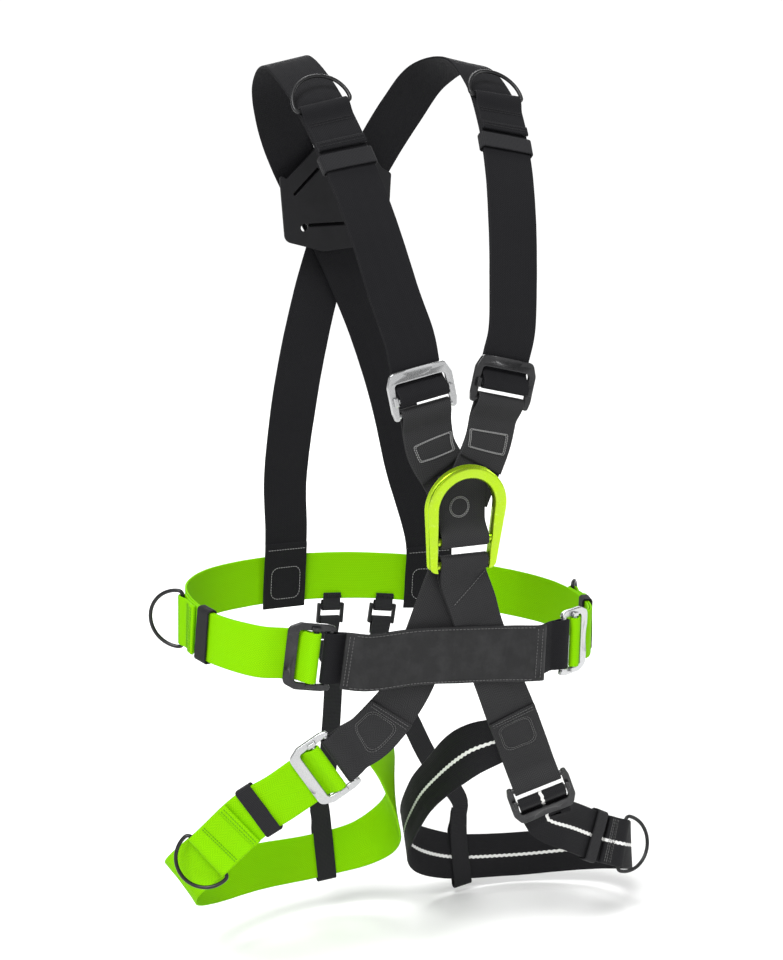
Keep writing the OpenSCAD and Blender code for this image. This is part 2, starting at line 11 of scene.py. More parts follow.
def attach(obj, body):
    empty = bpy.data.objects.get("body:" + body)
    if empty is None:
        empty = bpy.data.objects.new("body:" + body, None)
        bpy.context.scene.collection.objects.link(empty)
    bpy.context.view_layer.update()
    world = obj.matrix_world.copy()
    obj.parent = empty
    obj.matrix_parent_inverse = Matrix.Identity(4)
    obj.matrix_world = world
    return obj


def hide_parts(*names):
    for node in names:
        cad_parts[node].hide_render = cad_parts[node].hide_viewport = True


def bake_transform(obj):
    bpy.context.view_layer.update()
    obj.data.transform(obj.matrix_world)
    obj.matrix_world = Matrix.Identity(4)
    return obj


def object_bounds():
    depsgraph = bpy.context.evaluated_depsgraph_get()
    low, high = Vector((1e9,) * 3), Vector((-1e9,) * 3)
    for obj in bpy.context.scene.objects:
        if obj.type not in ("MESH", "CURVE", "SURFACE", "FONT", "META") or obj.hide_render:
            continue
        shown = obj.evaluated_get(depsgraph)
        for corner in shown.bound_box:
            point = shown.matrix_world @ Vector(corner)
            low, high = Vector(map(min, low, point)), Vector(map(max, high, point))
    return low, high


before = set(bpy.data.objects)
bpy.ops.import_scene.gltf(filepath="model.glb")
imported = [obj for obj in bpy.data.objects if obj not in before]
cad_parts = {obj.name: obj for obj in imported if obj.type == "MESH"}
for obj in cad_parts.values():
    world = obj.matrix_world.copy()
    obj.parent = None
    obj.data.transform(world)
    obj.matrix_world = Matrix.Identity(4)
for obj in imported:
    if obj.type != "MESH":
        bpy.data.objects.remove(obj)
cad_low, cad_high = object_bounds()

MM = 0.001

# Webbing: width, thickness, and the step from one layer to the next.
WEB_W = 45.0
WEB_T = 2.0
LAY = 2.4
HALF = WEB_W / 2
CUT_T = 1.2  # thickness where a layer is cut off
STITCH_H = 1.1  # height of a thread above the middle of its layer
RISER_W = 19.0
RISER_T = 1.4
RISER_FLEX = 60.0  # length of riser next to its ladder lock, made as a piece of its own

# Adjuster: frame height over the strap, anchor bar, slide bar, and where the strap leaves it.
FRAME_H = 3.8
ANCHOR_Y = 13.0
ANCHOR_R = 2.5
SLIDE_Y = 0.5
SLIDE_Z = 5.6
SLIDE_R = 2.2
ROLL_R = SLIDE_R + 0.3 + WEB_T / 2
LOOP_R = ANCHOR_R + 0.4 + WEB_T / 2
STRAP_END = 16.0
FLEX = 62.0  # longest stretch of strap next to the frame, made as a piece of its own
LOOP_START = ANCHOR_Y + 18  # where an anchor loop begins to rise
PLAIN_START = ANCHOR_Y + 22  # where the strap beside an anchor loop is straight again

# Pull ring and chest ring.
RING_R = 1.75
FOLD_R = RING_R + 0.4 + WEB_T / 2
BAR_R = 3.5
BAR_FOLD_R = BAR_R + 0.4 + WEB_T / 2
BAR_GAP = 22.0
CHEST = np.array([1.0, -124.4, 71.0])
CHEST_LEAN = math.radians(8)


# ------------ routes
def unit(v):
    v = np.asarray(v, float)
    return v / np.linalg.norm(v, axis=-1, keepdims=True)


def measured(points):
    """The distance along a polyline at each of its points."""
    return np.concatenate([[0], np.cumsum(np.linalg.norm(np.diff(points, axis=0), axis=1))])


def tangents(p, closed=False):
    if closed:
        return unit(np.roll(p, -1, 0) - np.roll(p, 1, 0))
    return unit(np.vstack([p[1:], p[-1:]]) - np.vstack([p[:1], p[:-1]]))


class Route:
    """The CAD's own strap routes: a smooth line with an outward normal, by distance."""

    def __init__(self, rows):
        rows = np.array(rows, float)
        ext = np.vstack([2 * rows[0] - rows[1], rows, 2 * rows[-1] - rows[-2]])
        t = (np.arange(8) / 8)[:, None]
        parts = []
        for i in range(len(rows) - 1):
            a, b, c, d = ext[i : i + 4]
            parts.append(0.5 * (2 * b + (c - a) * t + (2 * a - 5 * b + 4 * c - d) * t * t
                                + (3 * b - a - 3 * c + d) * t ** 3))
        self.p = np.vstack(parts + [rows[-1:]])
        self.d = measured(self.p[:, :3])
        self.rows = self.d[::8]
        self.end = self.d[-1]

    def _look(self, s, first):
        return np.stack([np.interp(s, self.d, self.p[:, first + c]) for c in range(3)], -1)

    def along(self, s):
        k = np.clip(s, 2, self.end - 2)
        return unit(self._look(k + 2, 0) - self._look(k - 2, 0))

    def pos(self, s):
        s = np.asarray(s, float)
        k = np.clip(s, 0, self.end)
        return self._look(k, 0) + (s - k)[..., None] * self.along(s)

    def out(self, s):
        t = self.along(s)
        n = self._look(s, 3)
        return unit(n - t * np.sum(n * t, -1, keepdims=True))

    def across(self, s):
        return np.cross(self.along(s), self.out(s))

    def point(self, s, h, w):
        s, h, w = (np.asarray(x, float) for x in (s, h, w))
        return self.pos(s) + self.out(s) * h[..., None] + self.across(s) * w[..., None]


def flat(mid, direction, normal, steps):
    mid = np.array(mid, float)
    return [[*(mid + 25 * k * np.array(direction)), *normal] for k in steps]


BR_MID, BR_DIR, BR_N = [-126, -94, -4], unit([-0.955, 0.27, 0.12]), [-0.27, -1, 0]
BL_MID, BL_DIR, BL_N = [122, -88, -22], unit([0.86, 0.5, -0.05]), [0.5, -0.86, 0]
belt = Route(
    flat(BL_MID, BL_DIR, BL_N, [1, 0, -1, -2])
    + [[42, -110, -16, 0.05, -1, 0], [0, -110.5, -12, 0, -1, 0], [-40, -110, -9, -0.05, -1, 0]]
    + flat(BR_MID, BR_DIR, BR_N, [-2, -1, 0, 1, 2])
    + [[-200, -50, 8, -1, -0.6, 0], [-206, -10, 12, -1, -0.1, 0], [-194, 35, 14, -1, 0.4, 0],
       [-160, 72, 14, -0.7, 1, 0], [-110, 95, 12, -0.3, 1, 0], [-55, 106, 9, -0.1, 1, 0],
       [0, 108, 4, 0, 1, 0], [55, 106, -4, 0.1, 1, 0], [110, 94, -14, 0.3, 1, 0],
       [148, 67, -20, 0.7, 1, 0], [169, 32, -23, 1, 0.4, 0], [174, -12, -25, 1, -0.1, 0],
       [166, -47, -25, 1, -0.5, 0]]
    + flat(BL_MID, BL_DIR, BL_N, [1.5, 1, 0, -1, -2])
)


def belt_rows(s, lean):
    rows = []
    for at, w in ((s - 8 * lean, 45), (s, 0), (s + 3 * lean, -27)):
        rows.append([*belt.point(at, -3.6, w), *belt.out(at)])
    return rows


shoulder_right = Route(
    [[1, -117, 95, 0, -1, 0], [0, -117, 120, 0, -1, 0], [-9, -115.8, 145, 0, -1, 0]]
    + flat([-34, -113, 221], unit([-0.19, 0.05, 0.98]), [-0.05, -1, 0.05], range(-2, 3))
    + [[-54, -103, 306, -0.05, -1, 0.2], [-63, -87, 352, -0.05, -1, 0.45],
       [-70, -59, 398, -0.1, -1, 0.8], [-76, -25, 438, -0.2, -1, 1.1],
       [-82, 12, 472, -0.3, -0.7, 1.6], [-88, 52, 492, -0.3, 0.2, 1.6],
       [-84, 90, 472, -0.3, 1, 1], [-70, 112, 432, -0.15, 1, 0.4],
       [-48, 125, 388, 0, 1, 0.15], [-20, 129, 340, 0, 1, 0], [4, 129, 290, 0, 1, 0],
       [26, 124, 232, 0, 1, 0], [43, 117, 170, 0, 1, 0], [56, 110, 105, 0.1, 1, 0]]
    + belt_rows(belt.rows[19] + 18, 1)
)
shoulder_left = Route(
    [[1, -120, 95, 0, -1, 0], [4, -120.2, 120, 0, -1, 0], [14, -120.6, 146, 0, -1, 0]]
    + flat([41, -113, 222], unit([0.25, 0.05, 0.967]), [0.05, -1, 0.05], range(-2, 3))
    + [[58, -103, 306, 0.05, -1, 0.2], [65, -87, 352, 0.05, -1, 0.45],
       [75, -59, 398, 0.1, -1, 0.8], [84, -25, 434, 0.2, -1, 1.1],
       [89, 12, 466, 0.3, -0.7, 1.6], [84, 52, 486, 0.3, 0.2, 1.6],
       [66, 90, 472, 0.3, 1, 1], [50, 112, 440, 0.15, 1, 0.4], [29, 128, 398, 0, 1, 0.15],
       [0, 133.5, 348, 0, 1, 0], [-22, 133, 290, 0, 1, 0], [-41, 126, 232, 0, 1, 0],
       [-57, 118, 170, 0, 1, 0], [-69, 110, 105, -0.1, 1, 0]]
    + belt_rows(belt.rows[17] - 21, 0)
)
leg_right = Route(
    [[0, -114, 71, 0, -1, 0], [-12, -114, 42, 0, -1, 0], [-26, -114, 8, 0, -1, 0],
     [-44, -115.5, -36, 0.05, -1, 0]]
    + flat([-112, -91, -106], unit([-0.8, 0.22, -0.555]), [-0.3, -1, 0], range(-2, 3))
    + [[-176, -66, -153, -0.6, -1, 0], [-200, -42, -188, -0.9, -0.7, -0.3],
       [-219, -5, -228, -0.9, -0.1, -0.5], [-172, 40, -250, -0.5, 1, -0.3],
       [-117, 66, -256, -0.3, 1, -0.1], [-56, 80, -260, 0.1, 1, 0],
       [-8, 70, -250, 0.7, 1, 0], [6, 40, -222, 1, 0.2, 0], [-6, 3, -182, 1, -0.5, 0.2],
       [-26, -32, -143, 0.8, -1, 0.3], [-49, -66, -108, 0.4, -1, 0.3],
       [-66, -88, -84, 0.1, -1, 0.2]]
)
leg_left = Route(
    [[2, -119, 83, 0, -1, 0], [2, -119, 71, 0, -1, 0], [2.6, -119, 61, 0, -1, 0],
     [7.5, -119, 48, 0, -1, 0], [13.5, -119, 32, 0, -1, 0], [25, -117.8, 0, 0, -1, 0],
     [43.5, -116.8, -48, -0.03, -1, -0.03]]
    + flat([97, -89, -160], unit([0.4, 0.16, -0.9]), [-0.2, -1, -0.27], [-3, -2, -1, 0, 1, 1.4])
    + [[137, -77, -206, 0.4, -1, -0.05], [172, -64, -226, 0.6, -1, 0],
       [205, -46, -243, 0.8, -0.9, 0], [235, -12, -262, 1, -0.2, 0],
       [215, 42, -280, 0.8, 0.8, 0], [150, 74, -288, 0.1, 1, 0], [78, 74, -278, -0.5, 1, 0],
       [25, 45, -243, -1, 0.3, 0], [15, 0, -190, -1, -0.25, 0.35],
       [20, -38, -152, -1, -0.5, 0.5], [33, -69.5, -122, -0.7, -1, 0.3],
       [53, -85.5, -109, -0.25, -1, -0.05], [70, -95.3, -102, -0.2, -1, -0.27]]
)
# Adjusters: route, distance of the middle, direction, distances of keeper and pull ring,
# fold length, rest angle of the ring.
ADJ = {
    "shoulder_right": (shoulder_right, shoulder_right.rows[5], 1, 212, 268, 44, 10),
    "shoulder_left": (shoulder_left, shoulder_left.rows[5], 1, 220, 272, 40, 5),
    "belt_right": (belt, belt.rows[9], 1, 102, 144, 30, 60),
    "belt_left": (belt, belt.rows[27], -1, 76, 118, 30, 40),
    "leg_right": (leg_right, leg_right.rows[6], 1, 72, 138, 48, 25),
    "leg_left": (leg_left, leg_left.rows[10], 1, 100, 144, 30, 30),
}
S_BR = belt.rows[9]
S_BL_FRONT = belt.rows[1]
S_BL = belt.rows[27]


# ------------ meshes
def add_object(name, data):
    obj = bpy.data.objects.new(name, data)
    bpy.context.scene.collection.objects.link(obj)
    return obj


def evaluated(obj):
    """The object's mesh with its modifiers applied. The object itself is removed."""
    bpy.context.view_layer.update()
    mesh = bpy.data.meshes.new_from_object(obj.evaluated_get(bpy.context.evaluated_depsgraph_get()))
    bpy.data.objects.remove(obj)
    return mesh


def smooth(mesh, sharp):
    mesh.polygons.foreach_set("use_smooth", [True] * len(mesh.polygons))
    mesh.set_sharp_from_angle(angle=math.radians(sharp))


def face_outward(mesh):
    bm = bmesh.new()
    bm.from_mesh(mesh)
    bmesh.ops.recalc_face_normals(bm, faces=bm.faces)
    bm.to_mesh(mesh)
    bm.free()
    return mesh


def link(name, mesh, material, body, replaced=()):
    """Adds a piece with its material, hiding the CAD nodes it replaces and riding on a body if one is
    given.
    """
    obj = add_object(name, mesh)
    mesh.materials.clear()
    mesh.materials.append(material)
    if replaced:
        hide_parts(*replaced)
    if body:
        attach(obj, body)
    return obj


def finish_mesh(name, verts, faces, uv=None, sharp=50):
    mesh = bpy.data.meshes.new(name)
    mesh.from_pydata((np.asarray(verts) * MM).tolist(), [], faces)
    if uv is not None:
        layer = mesh.uv_layers.new(name="weave")
        ids = np.empty(len(mesh.loops), int)
        mesh.loops.foreach_get("vertex_index", ids)
        layer.data.foreach_set("uv", (np.asarray(uv)[ids] * MM).astype(np.float32).ravel())
    mesh.update()
    smooth(mesh, sharp)
    return mesh


def section(width, edge=0.95):
    """Cross-section of a strap: (offset across, share of the thickness), all the way round."""
    inner = width / 2 - edge
    flat_part = [-inner, -inner + 1.2, -inner * 0.6, 0, inner * 0.6, inner - 1.2, inner]
    arc = [(math.sin(math.radians(a)), math.cos(math.radians(a)) / 2) for a in (25, 50, 90, 130, 155)]
    top = [(w, 0.5) for w in flat_part]
    right = [(inner + edge * x, e) for x, e in arc]
    bottom = [(-w, -0.5) for w in flat_part]
    left = [(-inner - edge * x, -e) for x, e in arc]
    return np.array(top + right + bottom + left)


def waver(s, seed):
    """A small smooth irregularity along a strap, the same each run."""
    return (np.sin(s * 0.11 + seed) + 0.6 * np.sin(s * 0.043 + 2.1 * seed)
            + 0.4 * np.sin(s * 0.27 + 0.7 * seed)) / 2


def ribbon_mesh(name, r, path, width=WEB_W, v0=0.0, edge=0.95, seed=1.0):
    """Webbing that follows a path of (distance, height, thickness) along a route."""
    path = np.array(path, float)
    d = tangents(path[:, :2])
    shape = section(width, edge)
    n, k = len(path), len(shape)
    across = shape[None, :, 0] + 0.12 * waver(path[:, :1], seed) * np.sign(shape[None, :, 0])
    off = shape[None, :, 1] * path[:, 2:3]
    s = path[:, :1] - d[:, 1:2] * off
    h = path[:, 1:2] + d[:, 0:1] * off
    verts = r.point(s, h, across).reshape(-1, 3)
    run = v0 + measured(path[:, :2])[:, None]
    uv = np.stack([across, np.repeat(run, k, 1)], -1).reshape(-1, 2)
    return finish_mesh(name, verts, skin(n, k), uv)


def skin(n, k, closed=False, flip=False):
    """Faces between n rings of k points, with end caps when open; flip turns them over."""
    faces = []
    for i in range(n if closed else n - 1):
        for j in range(k):
            a, b = i * k + j, i * k + (j + 1) % k
            c, d = (b + k) % (n * k), (a + k) % (n * k)
            faces.append((a, b, c, d) if flip else (a, d, c, b))
    if not closed:
        way = -1 if flip else 1
        faces += [tuple(range(k))[::way], tuple(range((n - 1) * k, n * k))[::-way]]
    return faces


def level(a, b, h=0, step=4.0, t=WEB_T):
    """A run from distance a to b at one height and thickness."""
    n = max(2, math.ceil(abs(b - a) / step))
    return [(a + (b - a) * i / n, h, t) for i in range(n + 1)]


def ease_to(a, b, n=16, t=WEB_T):
    return [(a[0] + (b[0] - a[0]) * i / n,
             a[1] + (b[1] - a[1]) * (1 - math.cos(math.pi * i / n)) / 2, t) for i in range(n + 1)]


def arc_to(c, radius, a0, a1, n=20, t=WEB_T):
    out = []
    for i in range(n + 1):
        a = math.radians(a0 + (a1 - a0) * i / n)
        out.append((c[0] + radius * math.cos(a), c[1] + radius * math.sin(a), t))
    return out


def moved(path, s0, direction):
    return [(s0 + direction * q[0], *q[1:]) for q in path]


def straight(origin, direction, normal):
    """A straight route through origin; distances on it are measured from 100 before it."""
    o, d = np.array(origin, float), unit(direction)
    return Route([[*(o + 100 * k * d), *normal] for k in (-1, 0, 1)])


def tube(points, radius, sides=12, closed=False, normal=(0, 0, 1)):
    """Vertices and faces of a round rod along points, with domed ends when open."""
    p = np.array(points, float)
    n = len(p)
    t = tangents(p, closed)
    radii = np.broadcast_to(np.array(radius, float), n)
    u = unit(np.cross(t, np.array(normal, float)))
    v = np.cross(u, t)
    ang = np.arange(sides) * 2 * math.pi / sides
    ring = (np.cos(ang)[None, :, None] * u[:, None] + np.sin(ang)[None, :, None] * v[:, None])
    verts = (p[:, None] + ring * radii[:, None, None]).reshape(-1, 3)
    return verts, skin(n, sides, closed, flip=True)


def rod(a, b, radius, sides=24):
    """A bar with rounded ends."""
    dome = 0.5
    a, b = np.array(a, float), np.array(b, float)
    d = unit(b - a)
    ends = [(0, 0.55), (0.12, 0.78), (0.4, 0.94), (1, 1)]
    points = [a + d * dome * x for x, _ in ends] + [b - d * dome * x for x, _ in reversed(ends)]
    radii = [radius * y for _, y in ends] + [radius * y for _, y in reversed(ends)]
    return tube(points, radii, sides)


def merge(parts):
    verts, faces, base = [], [], 0
    for v, f in parts:
        verts.append(np.asarray(v))
        faces.extend(tuple(i + base for i in q) for q in f)
        base += len(v)
    return np.vstack(verts), faces


def rounded(corners, n=6):
    """A closed outline from corners (x, y, radius)."""
    out = []
    count = len(corners)
    for i, (x, y, radius) in enumerate(corners):
        p = np.array([x, y], float)
        a = np.array(corners[i - 1][:2], float)
        b = np.array(corners[(i + 1) % count][:2], float)
        da, db = unit(a - p), unit(b - p)
        half_angle = math.acos(max(-1, min(1, float(da @ db)))) / 2
        if radius <= 0 or abs(half_angle - math.pi / 2) < 0.01:
            out.append(tuple(p))
            continue
        reach = radius / math.tan(half_angle)
        centre = p + unit(da + db) * radius / math.sin(half_angle)
        start, end = p + da * reach - centre, p + db * reach - centre
        a0, a1 = math.atan2(start[1], start[0]), math.atan2(end[1], end[0])
        turn = (a1 - a0 + math.pi) % (2 * math.pi) - math.pi
        for k in range(n + 1):
            ang = a0 + turn * k / n
            out.append((centre[0] + radius * math.cos(ang), centre[1] + radius * math.sin(ang)))
    return out


def box(x0, y0, x1, y1, corner, n=6):
    """The outline of a rectangle with rounded corners."""
    return rounded([(x0, y0, corner), (x1, y0, corner), (x1, y1, corner), (x0, y1, corner)], n)


def plate_mesh(name, loops, z0, z1, bevel, cutters=()):
    """A plate from outlines, with rounded edges; cutters are meshes taken out of it."""
    curve = bpy.data.curves.new(name, "CURVE")
    curve.dimensions = "2D"
    curve.fill_mode = "BOTH"
    curve.extrude = ((z1 - z0) / 2 - bevel) * MM
    curve.bevel_depth = bevel * MM
    curve.bevel_resolution = 3
    curve.offset = -bevel * MM
    for loop in loops:
        spline = curve.splines.new("POLY")
        spline.points.add(len(loop) - 1)
        for point, (x, y) in zip(spline.points, loop):
            point.co = (x * MM, y * MM, 0, 1)
        spline.use_cyclic_u = True
    mesh = evaluated(add_object(name, curve))
    mesh.transform(Matrix.Translation((0, 0, (z0 + z1) / 2 * MM)))
    bm = bmesh.new()
    bm.from_mesh(mesh)
    bmesh.ops.remove_doubles(bm, verts=bm.verts, dist=1e-6)
    bmesh.ops.dissolve_degenerate(bm, edges=bm.edges, dist=1e-6)
    bmesh.ops.recalc_face_normals(bm, faces=bm.faces)
    bm.to_mesh(mesh)
    bm.free()
    host = add_object(name, mesh)
    helpers = [add_object("cutter", cut) for cut in cutters]
    for helper in helpers:
        mod = host.modifiers.new("cut", "BOOLEAN")
        mod.operation = "DIFFERENCE"
        mod.solver = "EXACT"
        mod.object = helper
    done = evaluated(host)
    for helper in helpers:
        bpy.data.objects.remove(helper)
    smooth_by_area(done, 28)
    return done


def smooth_by_area(mesh, sharp):
    """Smooth shading: sharp edges stay, and large faces set the normals beside them."""
    smooth(mesh, sharp)
    obj = add_object("weighting", mesh)
    mod = obj.modifiers.new("weighting", "WEIGHTED_NORMAL")
    mod.keep_sharp = True
    out = evaluated(obj)
    mesh.clear_geometry()
    bm = bmesh.new()
    bm.from_mesh(out)
    bm.to_mesh(mesh)
    bm.free()
    smooth(mesh, sharp)


def ball_mesh(name, centre, radii):
    bm = bmesh.new()
    bmesh.ops.create_uvsphere(bm, u_segments=40, v_segments=20, radius=1.0)
    for v in bm.verts:
        v.co = Vector([(c + v.co[i] * q) * MM for i, (c, q) in enumerate(zip(centre, radii))])
    mesh = bpy.data.meshes.new(name)
    bm.to_mesh(mesh)
    bm.free()
    return mesh


def place(r, s, direction, h):
    """Matrix that stands a rigid piece on a route: X across, Y along, Z outward."""
    x, y, z = r.across(s) * direction, r.along(s) * direction, r.out(s)
    p = r.point(s, h, 0) * MM
    return Matrix([[x[i], y[i], z[i], p[i]] for i in range(3)] + [[0, 0, 0, 1]])


def thread(r, points, lift, pitch=3.4, gap=0.9, radius=0.34, outward=1):
    """Stitches along a polyline of (distance, across); lift is a height, or gives one by distance."""
    points = np.array(points, float)
    dist = measured(points)
    n = max(1, int(round(dist[-1] / pitch)))
    true_pitch = dist[-1] / n
    shares = np.array([0, 0.12, 0.5, 0.88, 1.0])
    heights = np.array([-0.25, 0.12, 0.3, 0.12, -0.25])
    radii = radius * np.array([0.6, 1, 1.05, 1, 0.6])
    parts = []
    for i in range(n):
        a = i * true_pitch + gap / 2
        at = a + (true_pitch - gap) * shares
        s = np.interp(at, dist, points[:, 0])
        w = np.interp(at, dist, points[:, 1])
        mid = float(s[2])
        base = lift(s) if callable(lift) else lift
        p = r.point(s, base + outward * heights, w)
        parts.append(tube(p, radii, 6, normal=r.out(mid)))
    return merge(parts)


def seam(r, s, half, lift, pitch, gap, outward=1):
    """A straight row of stitches across a strap."""
    return thread(r, [(s, -half), (s, half)], lift, pitch, gap, outward=outward)


def box_line(s, w, length, width, corner):
    """A rounded rectangle centred at (s, w), as a closed polyline."""
    loop = box(s - length / 2, w - width / 2, s + length / 2, w + width / 2, corner, 4)
    return loop + loop[:1]


# ------------ materials
class Paint:
    """Builds one node material. Sockets and numbers can both be given as inputs."""

    def __init__(self, name, **fixed):
        self.mat = bpy.data.materials.new(name)
        self.mat.use_nodes = True
        self.nodes = self.mat.node_tree.nodes
        self.links = self.mat.node_tree.links
        self.bsdf = self.nodes["Principled BSDF"]
        for key, value in fixed.items():
            self.bsdf.inputs[key.replace("_", " ")].default_value = value

    def add(self, kind, props=None, **inputs):
        node = self.nodes.new("ShaderNode" + kind)
        for key, value in (props or {}).items():
            setattr(node, key, value)
        for key, value in inputs.items():
            self.put(node.inputs[int(key[1:]) if key[0] == "i" and key[1:].isdigit() else key], value)
        return node

    def put(self, socket, value):
        if isinstance(value, bpy.types.NodeSocket):
            self.links.new(value, socket)
        else:
            socket.default_value = value

    def math(self, op, a, b=0.0):
        return self.add("Math", {"operation": op}, i0=a, i1=b).outputs[0]

    def total(self, *terms):
        """The sum of (value, weight) terms."""
        out = None
        for value, weight in terms:
            term = self.math("MULTIPLY", value, weight)
            out = term if out is None else self.math("ADD", out, term)
        return out

    def where(self):
        return self.add("TexCoord").outputs["Object"]

    def weave(self):
        """Distances across and along a strap, in metres."""
        xyz = self.add("SeparateXYZ", None, Vector=self.add("UVMap", {"uv_map": "weave"}).outputs[0])
        return xyz.outputs[0], xyz.outputs[1]

    def wave(self, x, period):
        """A sine from 0 to 1 along x, which is in metres; period is in millimetres."""
        turns = self.math("MULTIPLY", x, 2 * math.pi / (period * MM))
        return self.math("ADD", self.math("MULTIPLY", self.math("SINE", turns), 0.5), 0.5)

    def noise(self, where, size, detail=3.0, rough=0.55):
        """Noise whose grains are about that many millimetres."""
        return self.add("TexNoise", None, Vector=where, Scale=1 / (size * MM), Detail=detail,
                        Roughness=rough).outputs["Fac"]

    def span(self, value, low, high, out_low=0.0, out_high=1.0):
        node = self.add("MapRange", None, i0=value, i1=low, i2=high, i3=out_low, i4=out_high)
        return node.outputs[0]

    def mix(self, share, a, b):
        node = self.add("Mix", {"data_type": "RGBA"}, i0=share)
        self.put(node.inputs[6], a)
        self.put(node.inputs[7], b)
        return node.outputs[2]

    def bump(self, height, distance, strength=0.6, under=None):
        node = self.add("Bump", None, Height=height, Distance=distance * MM, Strength=strength)
        if under is not None:
            self.links.new(under, node.inputs["Normal"])
        return node.outputs["Normal"]

    def done(self, colour=None, rough=None, normal=None, metal=None):
        for key, value in (("Base Color", colour), ("Roughness", rough), ("Normal", normal),
                           ("Metallic", metal)):
            if value is not None:
                self.put(self.bsdf.inputs[key], value)
        return self.mat


def rgba(r, g, b):
    return (r, g, b, 1.0)


def shade(colour, k):
    return rgba(*(min(1.0, c * k) for c in colour))


def webbing(name, colour, deep, gloss, sheen=0.02, tracer=False):
    """A zigzag weave in the strap's own coordinates, with a white tracer line if asked for."""
    rib, pick, zig, rough = 1.6, 2.1, 5.6, 0.72
    p = Paint(name, Sheen_Weight=sheen, Sheen_Roughness=0.45, Specular_IOR_Level=gloss)
    u, v = p.weave()
    where = p.where()
    lean = p.math("PINGPONG", p.math("ADD", u, 0.2), zig * MM)
    columns = p.wave(u, rib)
    picks = p.wave(p.math("ADD", v, lean), pick)
    fibre = p.noise(where, 0.5, 2.0)
    height = p.total((columns, 0.35), (picks, 0.65), (fibre, 0.35))
    patch = p.noise(where, 42, 2.0)
    # Painted shade: the low parts of the weave take deep, a shaded copy of the strap's colour (for the
    # lime strap, its shaded green). Broad noise patches also lean towards a lighter copy of it.
    body = p.mix(p.span(height, 0.25, 1.1), rgba(*deep), rgba(*colour))
    body = p.mix(p.span(patch, 0.35, 0.7, 0.0, 0.28), body, shade(deep, 1.25))
    if tracer:
        sway = p.math("MULTIPLY", p.math("SUBTRACT", p.wave(v, 5.0), 0.5), 0.0007)
        away = p.math("ABSOLUTE", p.math("ADD", p.math("SUBTRACT", u, 0.0005), sway))
        line = p.span(away, 0.0013, 0.0016, 1.0, 0.0)
        body = p.mix(line, body, rgba(0.78, 0.78, 0.76))
        height = p.math("ADD", height, p.math("MULTIPLY", line, p.wave(v, 2.5)))
    normal = p.bump(height, 0.35, 0.55)
    return p.done(body, p.span(fibre, 0.3, 0.7, rough - 0.08, rough + 0.1), normal)


def elastic(name):
    p = Paint(name, Sheen_Weight=0.04, Sheen_Roughness=0.5, Specular_IOR_Level=0.25)
    u, v = p.weave()
    fuzz = p.noise(p.where(), 0.6, 2.0)
    height = p.total((p.wave(v, 1.3), 0.7), (p.wave(u, 1.5), 0.3), (fuzz, 0.3))
    colour = p.mix(p.span(height, 0.2, 1.1), rgba(0.004, 0.004, 0.005), rgba(0.016, 0.016, 0.018))
    return p.done(colour, p.span(fuzz, 0.3, 0.7, 0.75, 0.95), p.bump(height, 0.3, 0.5))


def metal(name, colour, worn, rough, metallic, coat=0.0):
    """Anodised or tumbled alloy: a fine grain, faint scratches and paler worn patches."""
    p = Paint(name, Coat_Weight=coat, Coat_Roughness=0.25)
    where = p.where()
    fine = p.noise(where, 0.45, 3.0)
    broad = p.noise(where, 9, 3.0)
    wear = p.span(p.noise(where, 3.2, 5.0, 0.7), 0.56, 0.72, 0.0, 0.55)
    edge = p.add("NewGeometry").outputs["Pointiness"]
    rim = p.span(edge, 0.505, 0.54)
    colour = p.mix(p.math("MULTIPLY", wear, rim), rgba(*colour), rgba(*worn))
    colour = p.mix(p.span(broad, 0.3, 0.7, 0.0, 0.18), colour, shade(worn, 0.55))
    streak = p.span(fine, 0.35, 0.65, rough - 0.07, rough + 0.09)
    return p.done(colour, streak, p.bump(fine, 0.05, 0.35), metallic)


def plastic(name, colour, rough=0.5):
    p = Paint(name, Specular_IOR_Level=0.22)
    where = p.where()
    grain = p.add("TexVoronoi", None, Vector=where, Scale=1 / (0.9 * MM)).outputs["Distance"]
    cloud = p.noise(where, 16, 3.0)
    body = p.mix(p.span(cloud, 0.3, 0.7, 0.0, 0.5), rgba(*colour), shade(colour, 1.7))
    return p.done(body, p.span(grain, 0.0, 0.9, rough - 0.06, rough + 0.1), p.bump(grain, 0.08, 0.5))


def yarn(name, colour):
    p = Paint(name, Sheen_Weight=0.04, Sheen_Roughness=0.4, Specular_IOR_Level=0.2)
    where = p.where()
    ply = p.noise(where, 0.7, 2.0)
    body = p.mix(p.span(ply, 0.3, 0.7), shade(colour, 0.6), rgba(*colour))
    return p.done(body, p.span(ply, 0.3, 0.7, 0.55, 0.75), p.bump(ply, 0.15, 0.6))


def sleeve_cloth(name):
    p = Paint(name, Sheen_Weight=0.03, Sheen_Roughness=0.35, Specular_IOR_Level=0.3)
    u, v = p.weave()
    weave = p.math("MULTIPLY", p.wave(u, 0.9), p.wave(v, 0.9))
    crease_and_sheen = p.noise(p.where(), 14, 4.0, 0.6)
    colour = p.mix(p.span(weave, 0.0, 0.8), rgba(0.006, 0.006, 0.0065), rgba(0.018, 0.018, 0.019))
    # Painted sheen: where the crease noise is high, the sleeve is painted a lighter grey as soft
    # highlights on the creases.
    colour = p.mix(p.span(crease_and_sheen, 0.45, 0.8, 0.0, 0.3), colour, rgba(0.04, 0.04, 0.042))
    normal = p.bump(weave, 0.12, 0.4, p.bump(crease_and_sheen, 0.9, 0.35))
    return p.done(colour, p.span(crease_and_sheen, 0.3, 0.75, 0.62, 0.48), normal)
